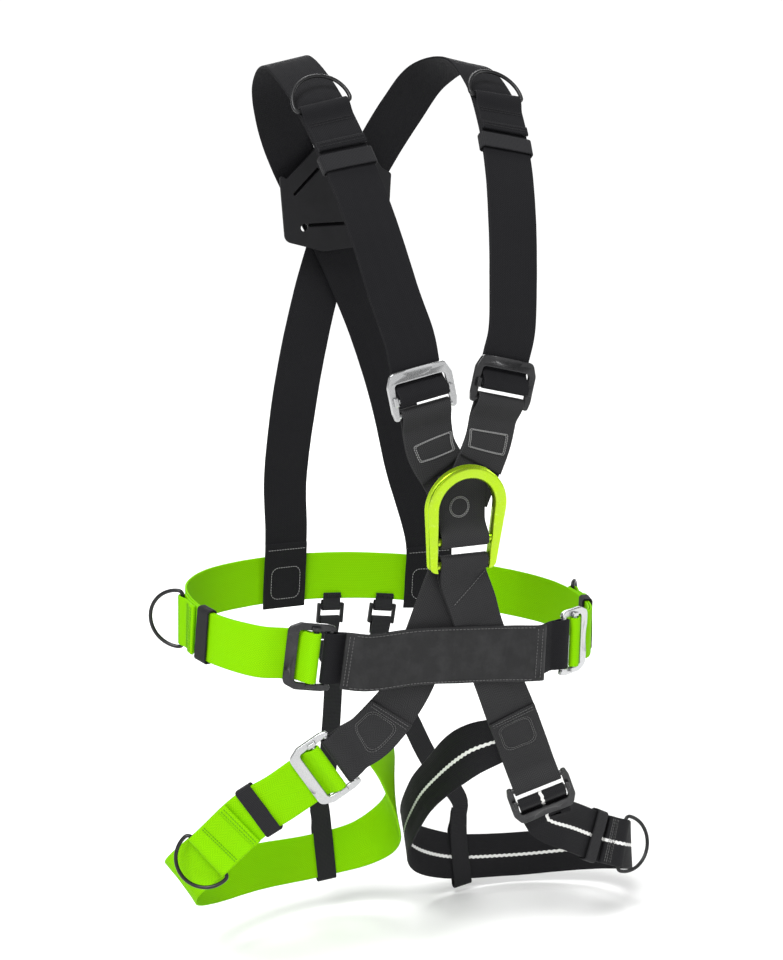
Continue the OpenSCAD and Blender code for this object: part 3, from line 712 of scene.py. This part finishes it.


# The second colour of each webbing is its painted shade colour, laid in the low parts of the weave.
BLACK = webbing("black_webbing", (0.012, 0.012, 0.0135), (0.004, 0.004, 0.005), gloss=0.12)
CHARCOAL = webbing("charcoal_webbing", (0.034, 0.034, 0.035), (0.011, 0.011, 0.012), gloss=0.16)
LIME = webbing("lime_webbing", (0.25, 0.58, 0.0), (0.14, 0.44, 0.0), sheen=0.0, gloss=0.05)
TRACER = webbing("tracer_webbing", (0.014, 0.014, 0.0155), (0.005, 0.005, 0.006), gloss=0.14,
                 tracer=True)
SLEEVE = sleeve_cloth("sleeve_fabric")
ELASTIC = elastic("elastic")
PLATE = plastic("moulded_plate", (0.007, 0.007, 0.008), 0.5)
PLASTIC = plastic("black_plastic", (0.009, 0.009, 0.01), 0.38)
RING = metal("anodised_ring", (0.4, 0.63, 0.01), (0.68, 0.84, 0.2), 0.31, 0.92, coat=0.15)
SILVER = metal("silver_alloy", (0.5, 0.505, 0.51), (0.8, 0.8, 0.81), 0.27, 0.97)
BLACK_ALLOY = metal("black_alloy", (0.012, 0.012, 0.013), (0.14, 0.14, 0.15), 0.3, 0.5, coat=0.25)
WIRE = metal("black_wire", (0.009, 0.009, 0.01), (0.05, 0.05, 0.05), 0.36, 0.3)
GREY_YARN = yarn("grey_yarn", (0.26, 0.26, 0.26))
DIM_YARN = yarn("dim_yarn", (0.11, 0.11, 0.11))
BLACK_YARN = yarn("black_yarn", (0.016, 0.016, 0.017))
LIME_YARN = yarn("lime_yarn", (0.1, 0.34, 0.0))

# For each adjuster: webbing, yarn, alloy, and the CAD node of the strap that it holds.
STRAPS = {
    "shoulder_right": (BLACK, BLACK_YARN, SILVER, "shoulder_strap_right"),
    "shoulder_left": (BLACK, BLACK_YARN, BLACK_ALLOY, "shoulder_strap_left"),
    "belt_right": (LIME, LIME_YARN, BLACK_ALLOY, "belt_webbing"),
    "belt_left": (LIME, LIME_YARN, SILVER, "belt_webbing"),
    "leg_right": (LIME, LIME_YARN, SILVER, "thigh_band_right"),
    "leg_left": (TRACER, DIM_YARN, BLACK_ALLOY, "thigh_band_left"),
}


def to_m(p):
    return tuple(float(x) * MM for x in p)


def strap(name, r, path, material, body, node, **shape):
    """A length of webbing in place of a CAD node."""
    return link(name, ribbon_mesh(name, r, path, **shape), material, body, [node])


def sew(name, parts, thread_mat, body):
    """Stitches in the given yarn, riding on the given body."""
    verts, faces = merge(parts)
    return link(name, finish_mesh(name, verts, faces, sharp=80), thread_mat, body)


# ------------ adjusters
HALF_W = 60.0 / 2  # half the frame's width
ARM_END = -ANCHOR_Y - 3.5
FRAME_LOOP = rounded([
    (1.7 - HALF_W, ARM_END, 2.4), (-23.5, ARM_END, 2.4), (-23.5, 15, 3.2), (23.5, 15, 3.2),
    (23.5, ARM_END, 2.4), (HALF_W - 1.7, ARM_END, 2.4), (HALF_W, 4 - ANCHOR_Y, 6), (HALF_W, 14, 8),
    (25, 25, 6), (-25, 25, 6), (-HALF_W, 14, 8), (-HALF_W, 4 - ANCHOR_Y, 6)])
THUMB_DISH = ball_mesh("thumb_dish", (0, 23.2, 5.0), (15, 6.2, 2.5))
FRAME_PLATE = plate_mesh("frame_plate", [FRAME_LOOP], 0, 4, 0.85, [THUMB_DISH])
SLIDE_TAB = plate_mesh("slide_tab", [box(-2, -4, 2, 4, 1)], 4.15, 7.15, 0.7)


def mesh_parts(mesh, shift=(0, 0, 0)):
    verts = np.array([v.co for v in mesh.vertices]) / MM + shift
    return verts, [tuple(q.vertices) for q in mesh.polygons]


def hard_mesh(name, parts, sharp=28):
    verts, faces = merge(parts)
    mesh = finish_mesh(name, verts, faces, sharp=sharp)
    smooth_by_area(mesh, sharp)
    return mesh


ANCHOR_ROD = rod((-HALF - 3, -ANCHOR_Y, 2), (HALF + 3, -ANCHOR_Y, 2), ANCHOR_R)
FRAME_MESH = hard_mesh("frame_mesh", [mesh_parts(FRAME_PLATE), ANCHOR_ROD])
SLIDE_MESH = hard_mesh("slide_mesh", [
    rod((-HALF - 0.7, SLIDE_Y, SLIDE_Z), (HALF + 0.7, SLIDE_Y, SLIDE_Z), SLIDE_R),
    rod((-HALF - 2.5, SLIDE_Y, SLIDE_Z), (HALF + 2.5, SLIDE_Y, SLIDE_Z), 1.4),
    mesh_parts(SLIDE_TAB, (HALF + 2.9, SLIDE_Y, 0)),
    mesh_parts(SLIDE_TAB, (-HALF - 2.9, SLIDE_Y, 0))])


def pull_ring_points():
    """The wire's middle line: a straight side, two small corners and a half circle."""
    bow, corner = 26.0, 4.0
    points = [(x, 0, 0) for x in np.linspace(-bow + corner, bow - corner, 12)]
    for x, radius, a0, a1, n in ((bow - corner, corner, -90, 0, 6), (0, bow, 0, 180, 48),
                                 (corner - bow, corner, 180, 270, 6)):
        for a in np.radians(np.linspace(a0, a1, n + 1)[1:]):
            points.append((x + radius * math.cos(a), corner + radius * math.sin(a), 0))
    return points[:-1]


RING_MESH = hard_mesh("pull_ring_mesh", [tube(pull_ring_points(), RING_R, 16, closed=True)], 60)


def keeper_mesh(name, seed):
    """An elastic band round the two layers, slightly uneven in width and outline."""
    loop = box(-24.1, -3.1, 24.1, 5.5, 2.6, 5)
    fine = []
    for i, p in enumerate(loop):
        q = loop[(i + 1) % len(loop)]
        gap = math.dist(p, q)
        n = max(1, int(gap / 4))
        fine += [(p[0] + (q[0] - p[0]) * k / n, p[1] + (q[1] - p[1]) * k / n) for k in range(n)]
    p = np.array(fine)
    t = tangents(p, closed=True)
    normal = np.stack([t[:, 1], -t[:, 0]], -1)
    shape = section(16.0, 0.7)
    run = measured(p)
    bulge = 0.25 * waver(run * 2.0, seed)[:, None]
    flat_xz = p[:, None] + normal[:, None] * (shape[None, :, 1:2] * 1.5 + bulge[:, None])
    along = shape[None, :, 0] + 0.2 * waver(run[:, None] * 1.5, seed)
    verts = np.stack([flat_xz[..., 0], along, flat_xz[..., 1]], -1).reshape(-1, 3)
    k, n = len(shape), len(p)
    uv = np.stack([np.repeat(shape[None, :, 0], n, 0), np.repeat(run[:, None], k, 1)], -1)
    faces = skin(n, k, closed=True, flip=True)
    return face_outward(finish_mesh(name, verts, faces, uv.reshape(-1, 2), sharp=60))


def stand_mesh(name, mesh, matrix, material, body, node):
    """A copy of a shared mesh, stood on a route, in place of a CAD node."""
    copy = mesh.copy()
    copy.transform(matrix)
    copy.name = name
    return link(name, copy, material, body, [node])


BEND_END = {name: min(STRAP_END + FLEX, spec[3] - 13) for name, spec in ADJ.items()}
for index, (name, (r, mid, way, keep, ring, back, lift)) in enumerate(ADJ.items()):
    web, web_yarn, alloy, strap_node = STRAPS[name]
    buckle, slider, seed = "buckle_" + name, "slider_" + name, 1.0 + index
    seat = place(r, mid, way, FRAME_H)
    stand_mesh("adjuster_frame_" + name, FRAME_MESH, seat, alloy, buckle, "frame_" + name)
    stand_mesh("adjuster_bar_" + name, SLIDE_MESH, seat, alloy, slider, "slide_" + name)

    # the webbing roll round the slide bar, with thin tongues inside the strap's end
    bar_h = SLIDE_Z + FRAME_H
    path = [(21, 0, 1.4), (16.0, 0, 1.4), (15.9, 0, WEB_T)]
    path += ease_to((15.6, 0), (SLIDE_Y + 0.6, bar_h - ROLL_R))
    path += arc_to((SLIDE_Y, bar_h), ROLL_R, 270, 90, 24)
    path += ease_to((SLIDE_Y + 0.6, bar_h + ROLL_R), (15.6, LAY))
    path += [(15.9, LAY, WEB_T), (16.0, LAY, 1.4), (21, LAY, 1.4)]
    strap("strap_roll_" + name, r, moved(path, mid, way), web, slider, "roll_" + name, seed=seed)

    # the main strap and the tail next to the frame, as pieces of their own with no body
    bend_end = BEND_END[name]
    start = to_m(r.point(mid + way * bend_end, 0, 0))
    end = to_m(r.point(mid + way * STRAP_END, 0, 0))
    for label, h, node in (("strap", 0, strap_node), ("tail", LAY, "tail_" + name)):
        path = level(STRAP_END, bend_end, h, 3)
        obj = strap(f"{label}_flex_{name}", r, moved(path, mid, way), web, None, node, v0=STRAP_END,
                    seed=seed)
        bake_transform(obj)

    # the rest of the tail: fold round the pull ring, and a thick hem
    c = LAY + FOLD_R
    path = level(bend_end, ring - 8, LAY, 3.5)
    path += arc_to((ring, c), FOLD_R, -90, 90, 18)
    path += ease_to((ring - 1, c + FOLD_R), (ring - 14, 2 * LAY), 12)
    path += level(ring - 16, ring - back + 9, 2 * LAY, 3)
    path += [(ring - back + 8.2, 2 * LAY + 0.4, 2.9), (ring - back + 7.6, 2 * LAY + 0.9, 3.8)]
    path += level(ring - back + 6.5, ring - back + 1.2, 2 * LAY + 0.9, 2, t=3.9)
    path += [(ring - back + 0.5, 2 * LAY + 0.85, 3.4), (ring - back, 2 * LAY + 0.7, 1.8)]
    strap("tail_end_" + name, r, moved(path, mid, way), web, "harness", "tail_" + name, v0=bend_end,
          seed=seed)
    rows = []
    for at, h, pitch in ((ring - 15.5, 2 * LAY + 1.05, 2.6), (ring - 18, 2 * LAY + 1.05, 2.6),
                         (ring - back + 3, 2 * LAY + 2.85, 2.8), (ring - back + 6, 2 * LAY + 2.8, 2.8)):
        rows.append(seam(r, mid + way * at, 20.5, h, pitch, 0.7))
    sew("tail_stitch_" + name, rows, web_yarn, "harness")

    turn = Matrix.Rotation(math.radians(lift), 4, "X")
    stand_mesh("pull_ring_wire_" + name, RING_MESH, place(r, mid + way * ring, way, c) @ turn, WIRE,
               "pull_ring_" + name, "ring_" + name)
    stand_mesh("keeper_band_" + name, keeper_mesh("band", seed), place(r, mid + way * keep, way, 0),
               ELASTIC, "strap_keeper_" + name, "keeper_" + name)


# ------------ long straps
def long_strap(name, r, path, material, node, seed, v0=0.0):
    strap(name, r, path, material, "harness", node, v0=v0, seed=seed)


for side, seed in (("right", 1.0), ("left", 2.0)):
    r, mid = ADJ["shoulder_" + side][:2]
    last, first = r.end, BEND_END["shoulder_" + side]
    path = level(mid + first, last - 62)
    path += [(last - 61.4, -0.3, 2.6), (last - 60.6, -0.55, 3.1)]
    path += level(last - 59, last - 1, -0.55, t=3.1) + [(last, -0.5, 1.6)]
    long_strap("shoulder_webbing_" + side, r, path, BLACK, "shoulder_strap_" + side, seed, first)
    rows = [thread(r, box_line(last - 24, 0, 30, 31, 7), -2.15, 2.6, 0.7, outward=-1)]
    rows.append(seam(r, last - 56, 20, -2.15, 2.8, 0.8, outward=-1))
    sew("back_strap_stitch_" + side, rows, GREY_YARN, "harness")

for side, seed in (("right", 5.0), ("left", 6.0)):
    r, mid = ADJ["leg_" + side][:2]
    first = BEND_END["leg_" + side]
    path = level(mid + first, r.end - 0.5, step=3.5)
    path += [(r.end, 0, 1.0)]
    web = STRAPS["leg_" + side][0]
    long_strap("thigh_webbing_" + side, r, path, web, "thigh_band_" + side, seed, first)

first = BEND_END["belt_right"]
path = level(S_BR + first, S_BL - BEND_END["belt_left"])
long_strap("belt_back", belt, path, LIME, "belt_webbing", 3.0, first)


def anchor_loop(layer_end=-ANCHOR_Y - 36, slack=1.2):
    """The path of a strap end round its anchor bar, from the back layer to the front one."""
    c, y = FRAME_H + 2, -ANCHOR_Y + slack
    return (ease_to((-LOOP_START, 0), (y - 0.6, c - LOOP_R), 12)
            + arc_to((y, c), LOOP_R, -90, 90, 20)
            + ease_to((y - 0.6, c + LOOP_R), (-LOOP_START, LAY), 14)
            + level(-PLAIN_START, layer_end + 0.5, LAY, 3)
            + [(layer_end, LAY, CUT_T)])


left = moved(anchor_loop(), S_BL_FRONT, -1)
right = moved(anchor_loop(), S_BR, 1)
middle = level(S_BL_FRONT + PLAIN_START, S_BR - PLAIN_START)
long_strap("belt_front_webbing", belt, left[::-1] + middle + right, BLACK, "belt_front", 4.0)

# corners of the box stitches on the chest straps: distance along, distance across
CHEST_BOX = {
    "right": [(90.4, -14), (95, 19.5), (72.4, 17), (79.9, -13)],
    "left": [(94.1, -20), (94.3, 15), (80.6, 16.5), (74.8, -17)],
}


def skew_box(corners, grow):
    """A closed four-sided stitch line with slightly rounded corners, scaled about its middle."""
    mid = np.mean(corners, 0)
    loop = rounded([(*(mid + (np.array(c) - mid) * grow), 1.6) for c in corners], 4)
    return loop + loop[:1]


for side, first, seed in (("right", 24.5, 7.0), ("left", 30.0, 8.0)):
    r, mid = ADJ["shoulder_" + side][:2]
    path = level(first, mid - PLAIN_START, step=3)
    long_strap("chest_webbing_" + side, r, path + moved(anchor_loop(-70), mid, 1), CHARCOAL,
               "chest_strap_" + side, seed)
    rows = [thread(r, skew_box(CHEST_BOX[side], grow), LAY + STITCH_H, 1.7, 0.5, 0.4)
            for grow in (1.0, 1.09)]
    sew("chest_box_stitch_" + side, rows, GREY_YARN, "harness")

r, mid = ADJ["leg_left"][:2]
bar = r.rows[1]
c = -CHEST[1] - 119
path = ease_to((bar + 68, -0.5), (bar + 40, LAY), 12)
path += level(bar + 38, bar + 24, LAY, 3)
nose = bar - 3
path += ease_to((bar + 21, LAY), (nose + 0.6, c + BAR_FOLD_R), 16)
front_s, front_h = np.array([q[:2] for q in path[::-1]]).T
path += arc_to((nose, c), BAR_FOLD_R, 90, 270, 22)
path += ease_to((nose + 0.6, c - BAR_FOLD_R), (bar + 10, 0), 8)
path += level(bar + 16, mid - PLAIN_START, step=3.5)
long_strap("leg_webbing_left", r, path + moved(anchor_loop(-94, 0.4), mid, 1), CHARCOAL,
           "leg_strap_left", 9.0)
rows = [thread(r, [(bar + 33, 17), (bar + 17, -21)], lambda q: np.interp(q, front_s, front_h) + STITCH_H,
               2.8, 0.9, 0.42)]
sew("chest_seam", rows, DIM_YARN, "harness")

r, mid = ADJ["leg_right"][:2]
path = level(6, mid - PLAIN_START, step=3.5)
long_strap("leg_webbing_right", r, path + moved(anchor_loop(-74), mid, 1), CHARCOAL,
           "leg_strap_right", 10.0)
for side, at, w, back_at in (("right", 167, 2, 69), ("left", 196, 1, 89)):
    r, mid = ADJ["leg_" + side][:2]
    rows = [thread(r, box_line(at, w, size, size, 7), LAY + STITCH_H, 2.2, 0.6) for size in (31, 28)]
    rows += [seam(r, mid - back, 20, LAY + STITCH_H, 2.6, 0.7) for back in (back_at, back_at + 3)]
    sew("leg_box_stitch_" + side, rows, DIM_YARN, "harness")

# ------------ belt sleeve
SLEEVE_H = 3 * LAY + 4
SLEEVE_W = 51.0


def sleeve_mesh(name, s0, s1, height, width, thick):
    """A soft fabric sleeve: a thin closed sheet with shallow creases that fade at the seams."""
    s = np.linspace(s0, s1, 150)[:, None]
    w = np.linspace(-1, 1, 45)[None, :] * np.ones_like(s)
    ends = np.minimum(s - s0, s1 - s)
    hold = np.clip((1 - np.abs(w)) * 5, 0, 1) * np.clip(ends / 9, 0, 1)
    fold = 0.34 * np.sin(s * 0.075 + 1.4 * w + 0.8) + 0.22 * np.sin(s * 0.19 - 2.3 * w)
    fold = fold + 0.16 * np.sin(s * 0.41 + 3.1 * w + 2.0 * np.sin(s * 0.05))
    for at, lean, deep in ((0.08, 0.9, 0.5), (0.2, -0.7, 0.4), (0.47, 0.5, 0.35), (0.71, -0.9, 0.4),
                           (0.9, 0.8, 0.5)):
        away = (s - s0) / (s1 - s0) - at - 0.03 * lean * w
        fold = fold + deep * np.exp(-(away / 0.012) ** 2) * np.cos(w * 1.2)
    plump = 0.35 * (1 - w ** 2)
    rim = np.sqrt(np.clip(1 - np.clip((np.abs(w) - 0.955) / 0.045, 0, 1) ** 2, 0.02, 1))
    rim = rim * np.sqrt(np.clip(ends / 0.8, 0.05, 1))
    across = w * width / 2 * (1 + 0.006 * np.sin(s * 0.13 + 1))
    front = height + (thick / 2) * rim + (fold * 0.8 + plump) * hold
    rear = height - (thick / 2) * rim + (fold * 0.8 + plump) * hold * 0.8
    s = s * np.ones_like(w)
    top = belt.point(s, front, across).reshape(-1, 3)
    low = belt.point(s, rear, across).reshape(-1, 3)
    n, k = s.shape
    uv = np.stack([across.ravel(), s.ravel()], -1)
    faces = []
    for i in range(n - 1):
        for j in range(k - 1):
            a = i * k + j
            faces.append((a, a + 1, a + k + 1, a + k))
            faces.append(tuple(n * k + q for q in (a, a + k, a + k + 1, a + 1)))
    border = [(0, j) for j in range(k)] + [(i, k - 1) for i in range(1, n)]
    border += [(n - 1, j) for j in range(k - 2, -1, -1)] + [(i, 0) for i in range(n - 2, 0, -1)]
    ids = [i * k + j for i, j in border]
    for a, b in zip(ids, ids[1:] + ids[:1]):
        faces.append((b, a, a + n * k, b + n * k))
    return face_outward(finish_mesh(name, np.vstack([top, low]), faces, np.vstack([uv, uv]), sharp=60))


sleeve_a, sleeve_b = S_BL_FRONT + 48, S_BR - 25
mesh = sleeve_mesh("belt_sleeve_cloth", sleeve_a, sleeve_b, SLEEVE_H, SLEEVE_W, WEB_T)
link("belt_sleeve_cloth", mesh, SLEEVE, "harness", ["belt_sleeve"])
rows = []
for at in (sleeve_a + 3.5, sleeve_a + 7, sleeve_b - 3.5, sleeve_b - 7):
    rows.append(seam(belt, at, 22.5, SLEEVE_H + 1.2, 3.0, 0.9))
for w in (-23.4, 23.4):
    rows.append(thread(belt, [(sleeve_a + 9, w), (sleeve_b - 9, w)], SLEEVE_H + 1.15, 3.4, 1.0))
sew("belt_sleeve_stitch", rows, DIM_YARN, "harness")


# ------------ chest ring
def lean_point(x, y, z):
    c, q = math.cos(math.pi / 2 + CHEST_LEAN), math.sin(math.pi / 2 + CHEST_LEAN)
    return np.array([x, y * c - z * q, y * q + z * c]) + CHEST


def chest_ring_parts():
    outer_r, inner_r, rise, foot, foot_r = 37.0, 26.5, 53.0, np.array([25.5, 1.0]), 6.0
    right = []
    for a in np.linspace(90, -6.25, 34):
        b = 90 - (90 - a) * (92.56 / 96.25)
        ca, cb = math.radians(a), math.radians(b)
        right.append(((outer_r * math.cos(ca), rise + outer_r * math.sin(ca)),
                      (inner_r * math.cos(cb), rise + inner_r * math.sin(cb))))
    knee_out, knee_in = map(np.array, right[-1])
    toe = math.radians(-6.25)
    foot_out = foot + foot_r * np.array([math.cos(toe), math.sin(toe)])
    slope = (23.6 - knee_in[0]) / (-12 - knee_in[1])
    for f in np.linspace(0, 1, 16)[1:]:
        y = knee_in[1] + (0.5 - knee_in[1]) * f
        right.append((tuple(knee_out + (foot_out - knee_out) * f),
                      (knee_in[0] + slope * (y - knee_in[1]), y)))
    for a in np.linspace(-6.25, -103, 12)[1:]:
        y = 0.5 + (a + 6.25) / (103 - 6.25) * 5.2
        ca = math.radians(a)
        right.append(((foot[0] + foot_r * math.cos(ca), foot[1] + foot_r * math.sin(ca)),
                      (knee_in[0] + slope * (y - knee_in[1]), y)))
    path = [((-o[0], o[1]), (-i[0], i[1])) for o, i in reversed(right)] + right[1:]
    half = [(0, 0), (0, 3.2), (0.12, 4.7), (0.25, 5), (0.8, 5), (0.93, 4.7), (1, 4.1), (1, 3.5),
            (0.96, 3.2), (0.76, 2.7), (0.72, 1.9)]
    shape = half + [(u, -z) for u, z in reversed(half[1:])]
    verts = []
    for o, i in path:
        o, i = np.array(o), np.array(i)
        for u, z in shape:
            q = i + (o - i) * u
            verts.append((q[0], q[1], z))
    bars = [rod((-26.5, y, 0), (26.5, y, 0), BAR_R, 32) for y in (0, BAR_GAP)]
    return [(np.array(verts), skin(len(path), len(shape))), *bars]


verts, faces = merge(chest_ring_parts())
verts = np.array([lean_point(*v) for v in verts])
mesh = face_outward(finish_mesh("chest_ring_alloy", verts, faces, sharp=38))
smooth_by_area(mesh, 38)
link("chest_ring_alloy", mesh, RING, "chest_ring_body", ["chest_ring"])

upper_bar = lean_point(0, BAR_GAP, 0)
fold_route = straight(upper_bar, (0, 0, 1), (0, -1, 0))
path = [(157, -4.7, 0.8), (156, -4.6, 1.5), (154, -4.5, 2.0)]
path += level(152, 120, -4.5, 3)
path += ease_to((118, -4.5), (100.6, BAR_FOLD_R), 16) + arc_to((100, 0), BAR_FOLD_R, 90, 270, 22)
path += ease_to((100.6, -BAR_FOLD_R), (118, -9.2), 10) + [(118.5, -9.2, 1.4), (119, -9.2, 0.8)]
obj = strap("chest_fold_webbing", fold_route, path, CHARCOAL, None, "chest_fold", seed=11.0)
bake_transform(obj)
rows = [thread(fold_route, [(129 + size * math.sin(a), -2.5 + size * math.cos(a))
                            for a in np.linspace(0, 2 * math.pi, 37)], -3.35, 2.0, 0.5, 0.4)
        for size in (8.0, 9.2)]
obj = sew("chest_fold_stitch", rows, GREY_YARN, None)
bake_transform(obj)


# ------------ back plate
plate_loop = rounded([(-67, 384, 2), (-60, 379, 2.5), (-31, 407, 2.5), (-37, 413, 2), (-20, 423, 6),
                      (4, 424, 6), (12, 415, 2), (35, 385, 2), (44, 380, 3), (42, 348, 6),
                      (14, 314, 8), (-24, 311, 8), (-62, 322, 8)])


def turned_slot(x, y, turn, length, width):
    c, q = math.cos(math.radians(turn)), math.sin(math.radians(turn))
    loop = box(-length / 2, -width / 2, length / 2, width / 2, 1.2, 4)
    return [(x + px * c - py * q, y + px * q + py * c) for px, py in loop]


hole = [(-43 + 3.5 * math.cos(a), 334 + 3.5 * math.sin(a)) for a in np.linspace(0, 2 * math.pi, 33)[:-1]]
mesh = plate_mesh("back_plate_moulded", [plate_loop, turned_slot(-41, 376, 44, 34, 3),
                                         turned_slot(18, 383, -50, 34, 3),
                                         turned_slot(-20, 336, 0, 38, 3), hole], -1.5, 1.5, 0.7)
mesh.transform(Matrix.Translation((-3 * MM, 116 * MM, 2 * MM)) @ Matrix.Rotation(math.pi / 2, 4, "X"))
link("back_plate_moulded", mesh, PLATE, "harness", ["back_plate"])


# ------------ risers
# The upper bar hangs LOCK_X below the belt, and the lower bar LOCK_GAP below that.
LOCK_X, LOCK_GAP = 7.5, 12.5
LOCK_TOP = HALF + LOCK_X
RAIL = plate_mesh("lock_rail", [box(-LOCK_GAP - 3.5, -1.6, 3.5, 1.6, 1.4)], -2, 2, 0.9)
LOCK_MESH = hard_mesh("lock_mesh", [
    mesh_parts(RAIL, (-LOCK_TOP, 11.9, 0)),
    mesh_parts(RAIL, (-LOCK_TOP, -11.9, 0)),
    rod((-LOCK_TOP, -12, 0), (-LOCK_TOP, 12, 0), 2.0, 20),
    rod((-LOCK_TOP - LOCK_GAP, -12, 0), (-LOCK_TOP - LOCK_GAP, 12, 0), 2.0, 20)])


def riser(name, r, path, body, node, seed, width=RISER_W, v0=0.0):
    return strap(name, r, path, ELASTIC, body, node, width=width, v0=v0, edge=0.7, seed=seed)


def riser_path(route, reach):
    """Down the riser, round the thigh loop, and back up to the sewn end."""
    e = route.rows[9]
    path = level(0.4, e - 2, t=RISER_T)
    path += arc_to((e + reach, 2.8), 2.8, -90, 90, 16, RISER_T)
    e -= reach - 1
    path += level(e - 4, e - 45, 5.6, 3, t=RISER_T)
    path += ease_to((e - 46.5, 5.55), (e - 60, 1.9), 8, RISER_T)
    path += [(e - 65, 1.9, RISER_T), (e - 69.4, 1.9, RISER_T), (e - 70, 1.9, 0.7)]
    return path


for side, s_lock, mid_rows, leg, s_leg, up, lean, reach in (
    ("right", belt.rows[18] - 23, [[-28, 95, -80], [-34, 87, -135], [-42, 81, -185]],
     leg_right, leg_right.rows[14] + 11, 1, 0, 1),
    ("left", belt.rows[18] + 33, [[33, 101, -104], [51, 93, -143], [69, 86, -183]],
     leg_left, leg_left.rows[18] + 48, -1, 0.3, 4),
):
    lock = "lock_" + side
    stand_mesh("lock_frame_" + side, LOCK_MESH, place(belt, s_lock, 1, -1), PLASTIC, lock,
               "ladder_lock_" + side)
    out, up_belt = belt.out(s_lock), belt.across(s_lock)
    top = straight(belt.point(s_lock, -1, -LOCK_TOP - LOCK_GAP), up_belt, out)
    path = [(81, -1.1, 0.8), (81.5, -1.1, RISER_T), (86, -1.2, RISER_T), (92, -2.1, RISER_T)]
    path += arc_to((100, 0), 3.1, -110, 110, 20, RISER_T)
    path += [(92, 2.1, RISER_T), (86.5, 1.2, RISER_T), (86, 1.2, 0.8)]
    riser("riser_loop_" + side, top, path, lock, "riser_top_" + side, 2.0)

    tab = straight(belt.point(s_lock, 0, 0), up_belt, out)
    path = [(106 - HALF, -2.2, 0.8), (105.5 - HALF, -2.2, RISER_T), (100 - HALF, -2.3, RISER_T)]
    path += arc_to((100 - LOCK_TOP, -1), 3.2, 270, 90, 20, RISER_T)
    path += [(98.3 - HALF, 1.8, RISER_T), (97.8 - HALF, 1.8, 0.8)]
    riser("riser_tab_" + side + "_band", tab, path, "harness", "riser_tab_" + side, 3.0, RISER_W - 1)
    across_tab = straight(belt.point(s_lock, 0, 0), belt.along(s_lock), out)
    zig = [(91 + k * 0.9, -18.6 + (2.4 if k % 2 else -2.4)) for k in range(21)]
    sew("bartack_" + side, [thread(across_tab, zig, -3.0, 2.4, 0.1, 0.42, outward=-1)], BLACK_YARN,
        "harness")

    rows = [[*belt.point(s_lock, -2.1, -LOCK_TOP - LOCK_GAP - x), *out] for x in (20, 34)]
    rows += [[*p, 0, 1, 0] for p in mid_rows]
    for x in (58, 40, 22, 0, -22):
        at = s_leg + lean * (x + 22)
        rows.append([*leg.point(at, -2.8, up * x), *leg.out(at)])
    hang = Route(rows)
    path = riser_path(hang, reach)
    near = [q for q in path if q[0] <= RISER_FLEX and q[1] == 0]
    cut = near[-1][0]
    obj = riser("riser_flex_" + side, hang, near, None, "riser_" + side, 4.0)
    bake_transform(obj)
    riser("riser_web_" + side, hang, path[len(near) - 1:], "harness", "riser_" + side, 4.0,
          v0=cut - 0.4)
    e = hang.rows[9] - reach + 1
    rows = [thread(hang, [(e - 66, w), (e - 62, w)], 2.75, 2.0, 0.4) for w in (-7, -3.5, 0, 3.5, 7)]
    sew("riser_stitch_" + side, rows, BLACK_YARN, "harness")

# ------------ floor, lights and camera
bm = bmesh.new()
bmesh.ops.create_circle(bm, cap_ends=True, segments=96, radius=40.0)
floor_mesh = bpy.data.meshes.new("floor")
bm.to_mesh(floor_mesh)
bm.free()
floor = add_object("floor", floor_mesh)
floor.location = (0, 0, cad_low[2] - 0.004)
paper = Paint("floor_paper", Specular_IOR_Level=0.2)
grain = paper.noise(paper.add("TexCoord").outputs["Object"], 900, 2.0)
floor_mesh.materials.append(paper.done(
    paper.mix(paper.span(grain, 0.3, 0.7), rgba(0.93, 0.93, 0.93), rgba(0.95, 0.95, 0.95)), 0.9))

world = bpy.data.worlds.new("studio")
world.use_nodes = True
sky = world.node_tree.nodes["Background"]
sky.inputs["Color"].default_value = rgba(1.0, 1.0, 1.0)
sky.inputs["Strength"].default_value = 0.32
bpy.context.scene.world = world


def area_light(name, at, target, size, watts):
    data = bpy.data.lights.new(name, "AREA")
    data.shape = "DISK"
    data.size = size
    data.energy = watts
    obj = add_object(name, data)
    obj.location = at
    aim = Vector(target) - Vector(at)
    obj.rotation_euler = aim.to_track_quat("-Z", "Y").to_euler()
    obj.visible_camera = False


sun_data = bpy.data.lights.new("sun", "SUN")
sun_data.energy = 3.3
sun_data.angle = math.radians(26)
sun = add_object("sun", sun_data)
sun.rotation_euler = Vector((0.55, 0.5, -1.0)).to_track_quat("-Z", "Y").to_euler()
area_light("front", (-1.6, -1.9, 0.9), (0, 0, 0.05), 0.9, 11)
area_light("side", (2.0, -0.9, 0.9), (0, 0, 0.05), 0.8, 12)
area_light("top", (0.1, 0.7, 1.9), (0, 0, 0.3), 0.8, 14)
area_light("back", (0.9, 2.2, 1.0), (0, 0, 0.05), 1.0, 16)

camera = add_object("camera", bpy.data.cameras.new("camera"))
camera.data.lens = 100
camera.data.sensor_width = 36
camera.data.clip_end = 100
camera.location = (-0.9612, -2.1363, 0.6599)
camera.rotation_euler = (math.radians(77), 0, math.radians(-24))
bpy.context.scene.camera = camera
bpy.context.scene.view_settings.view_transform = "Standard"
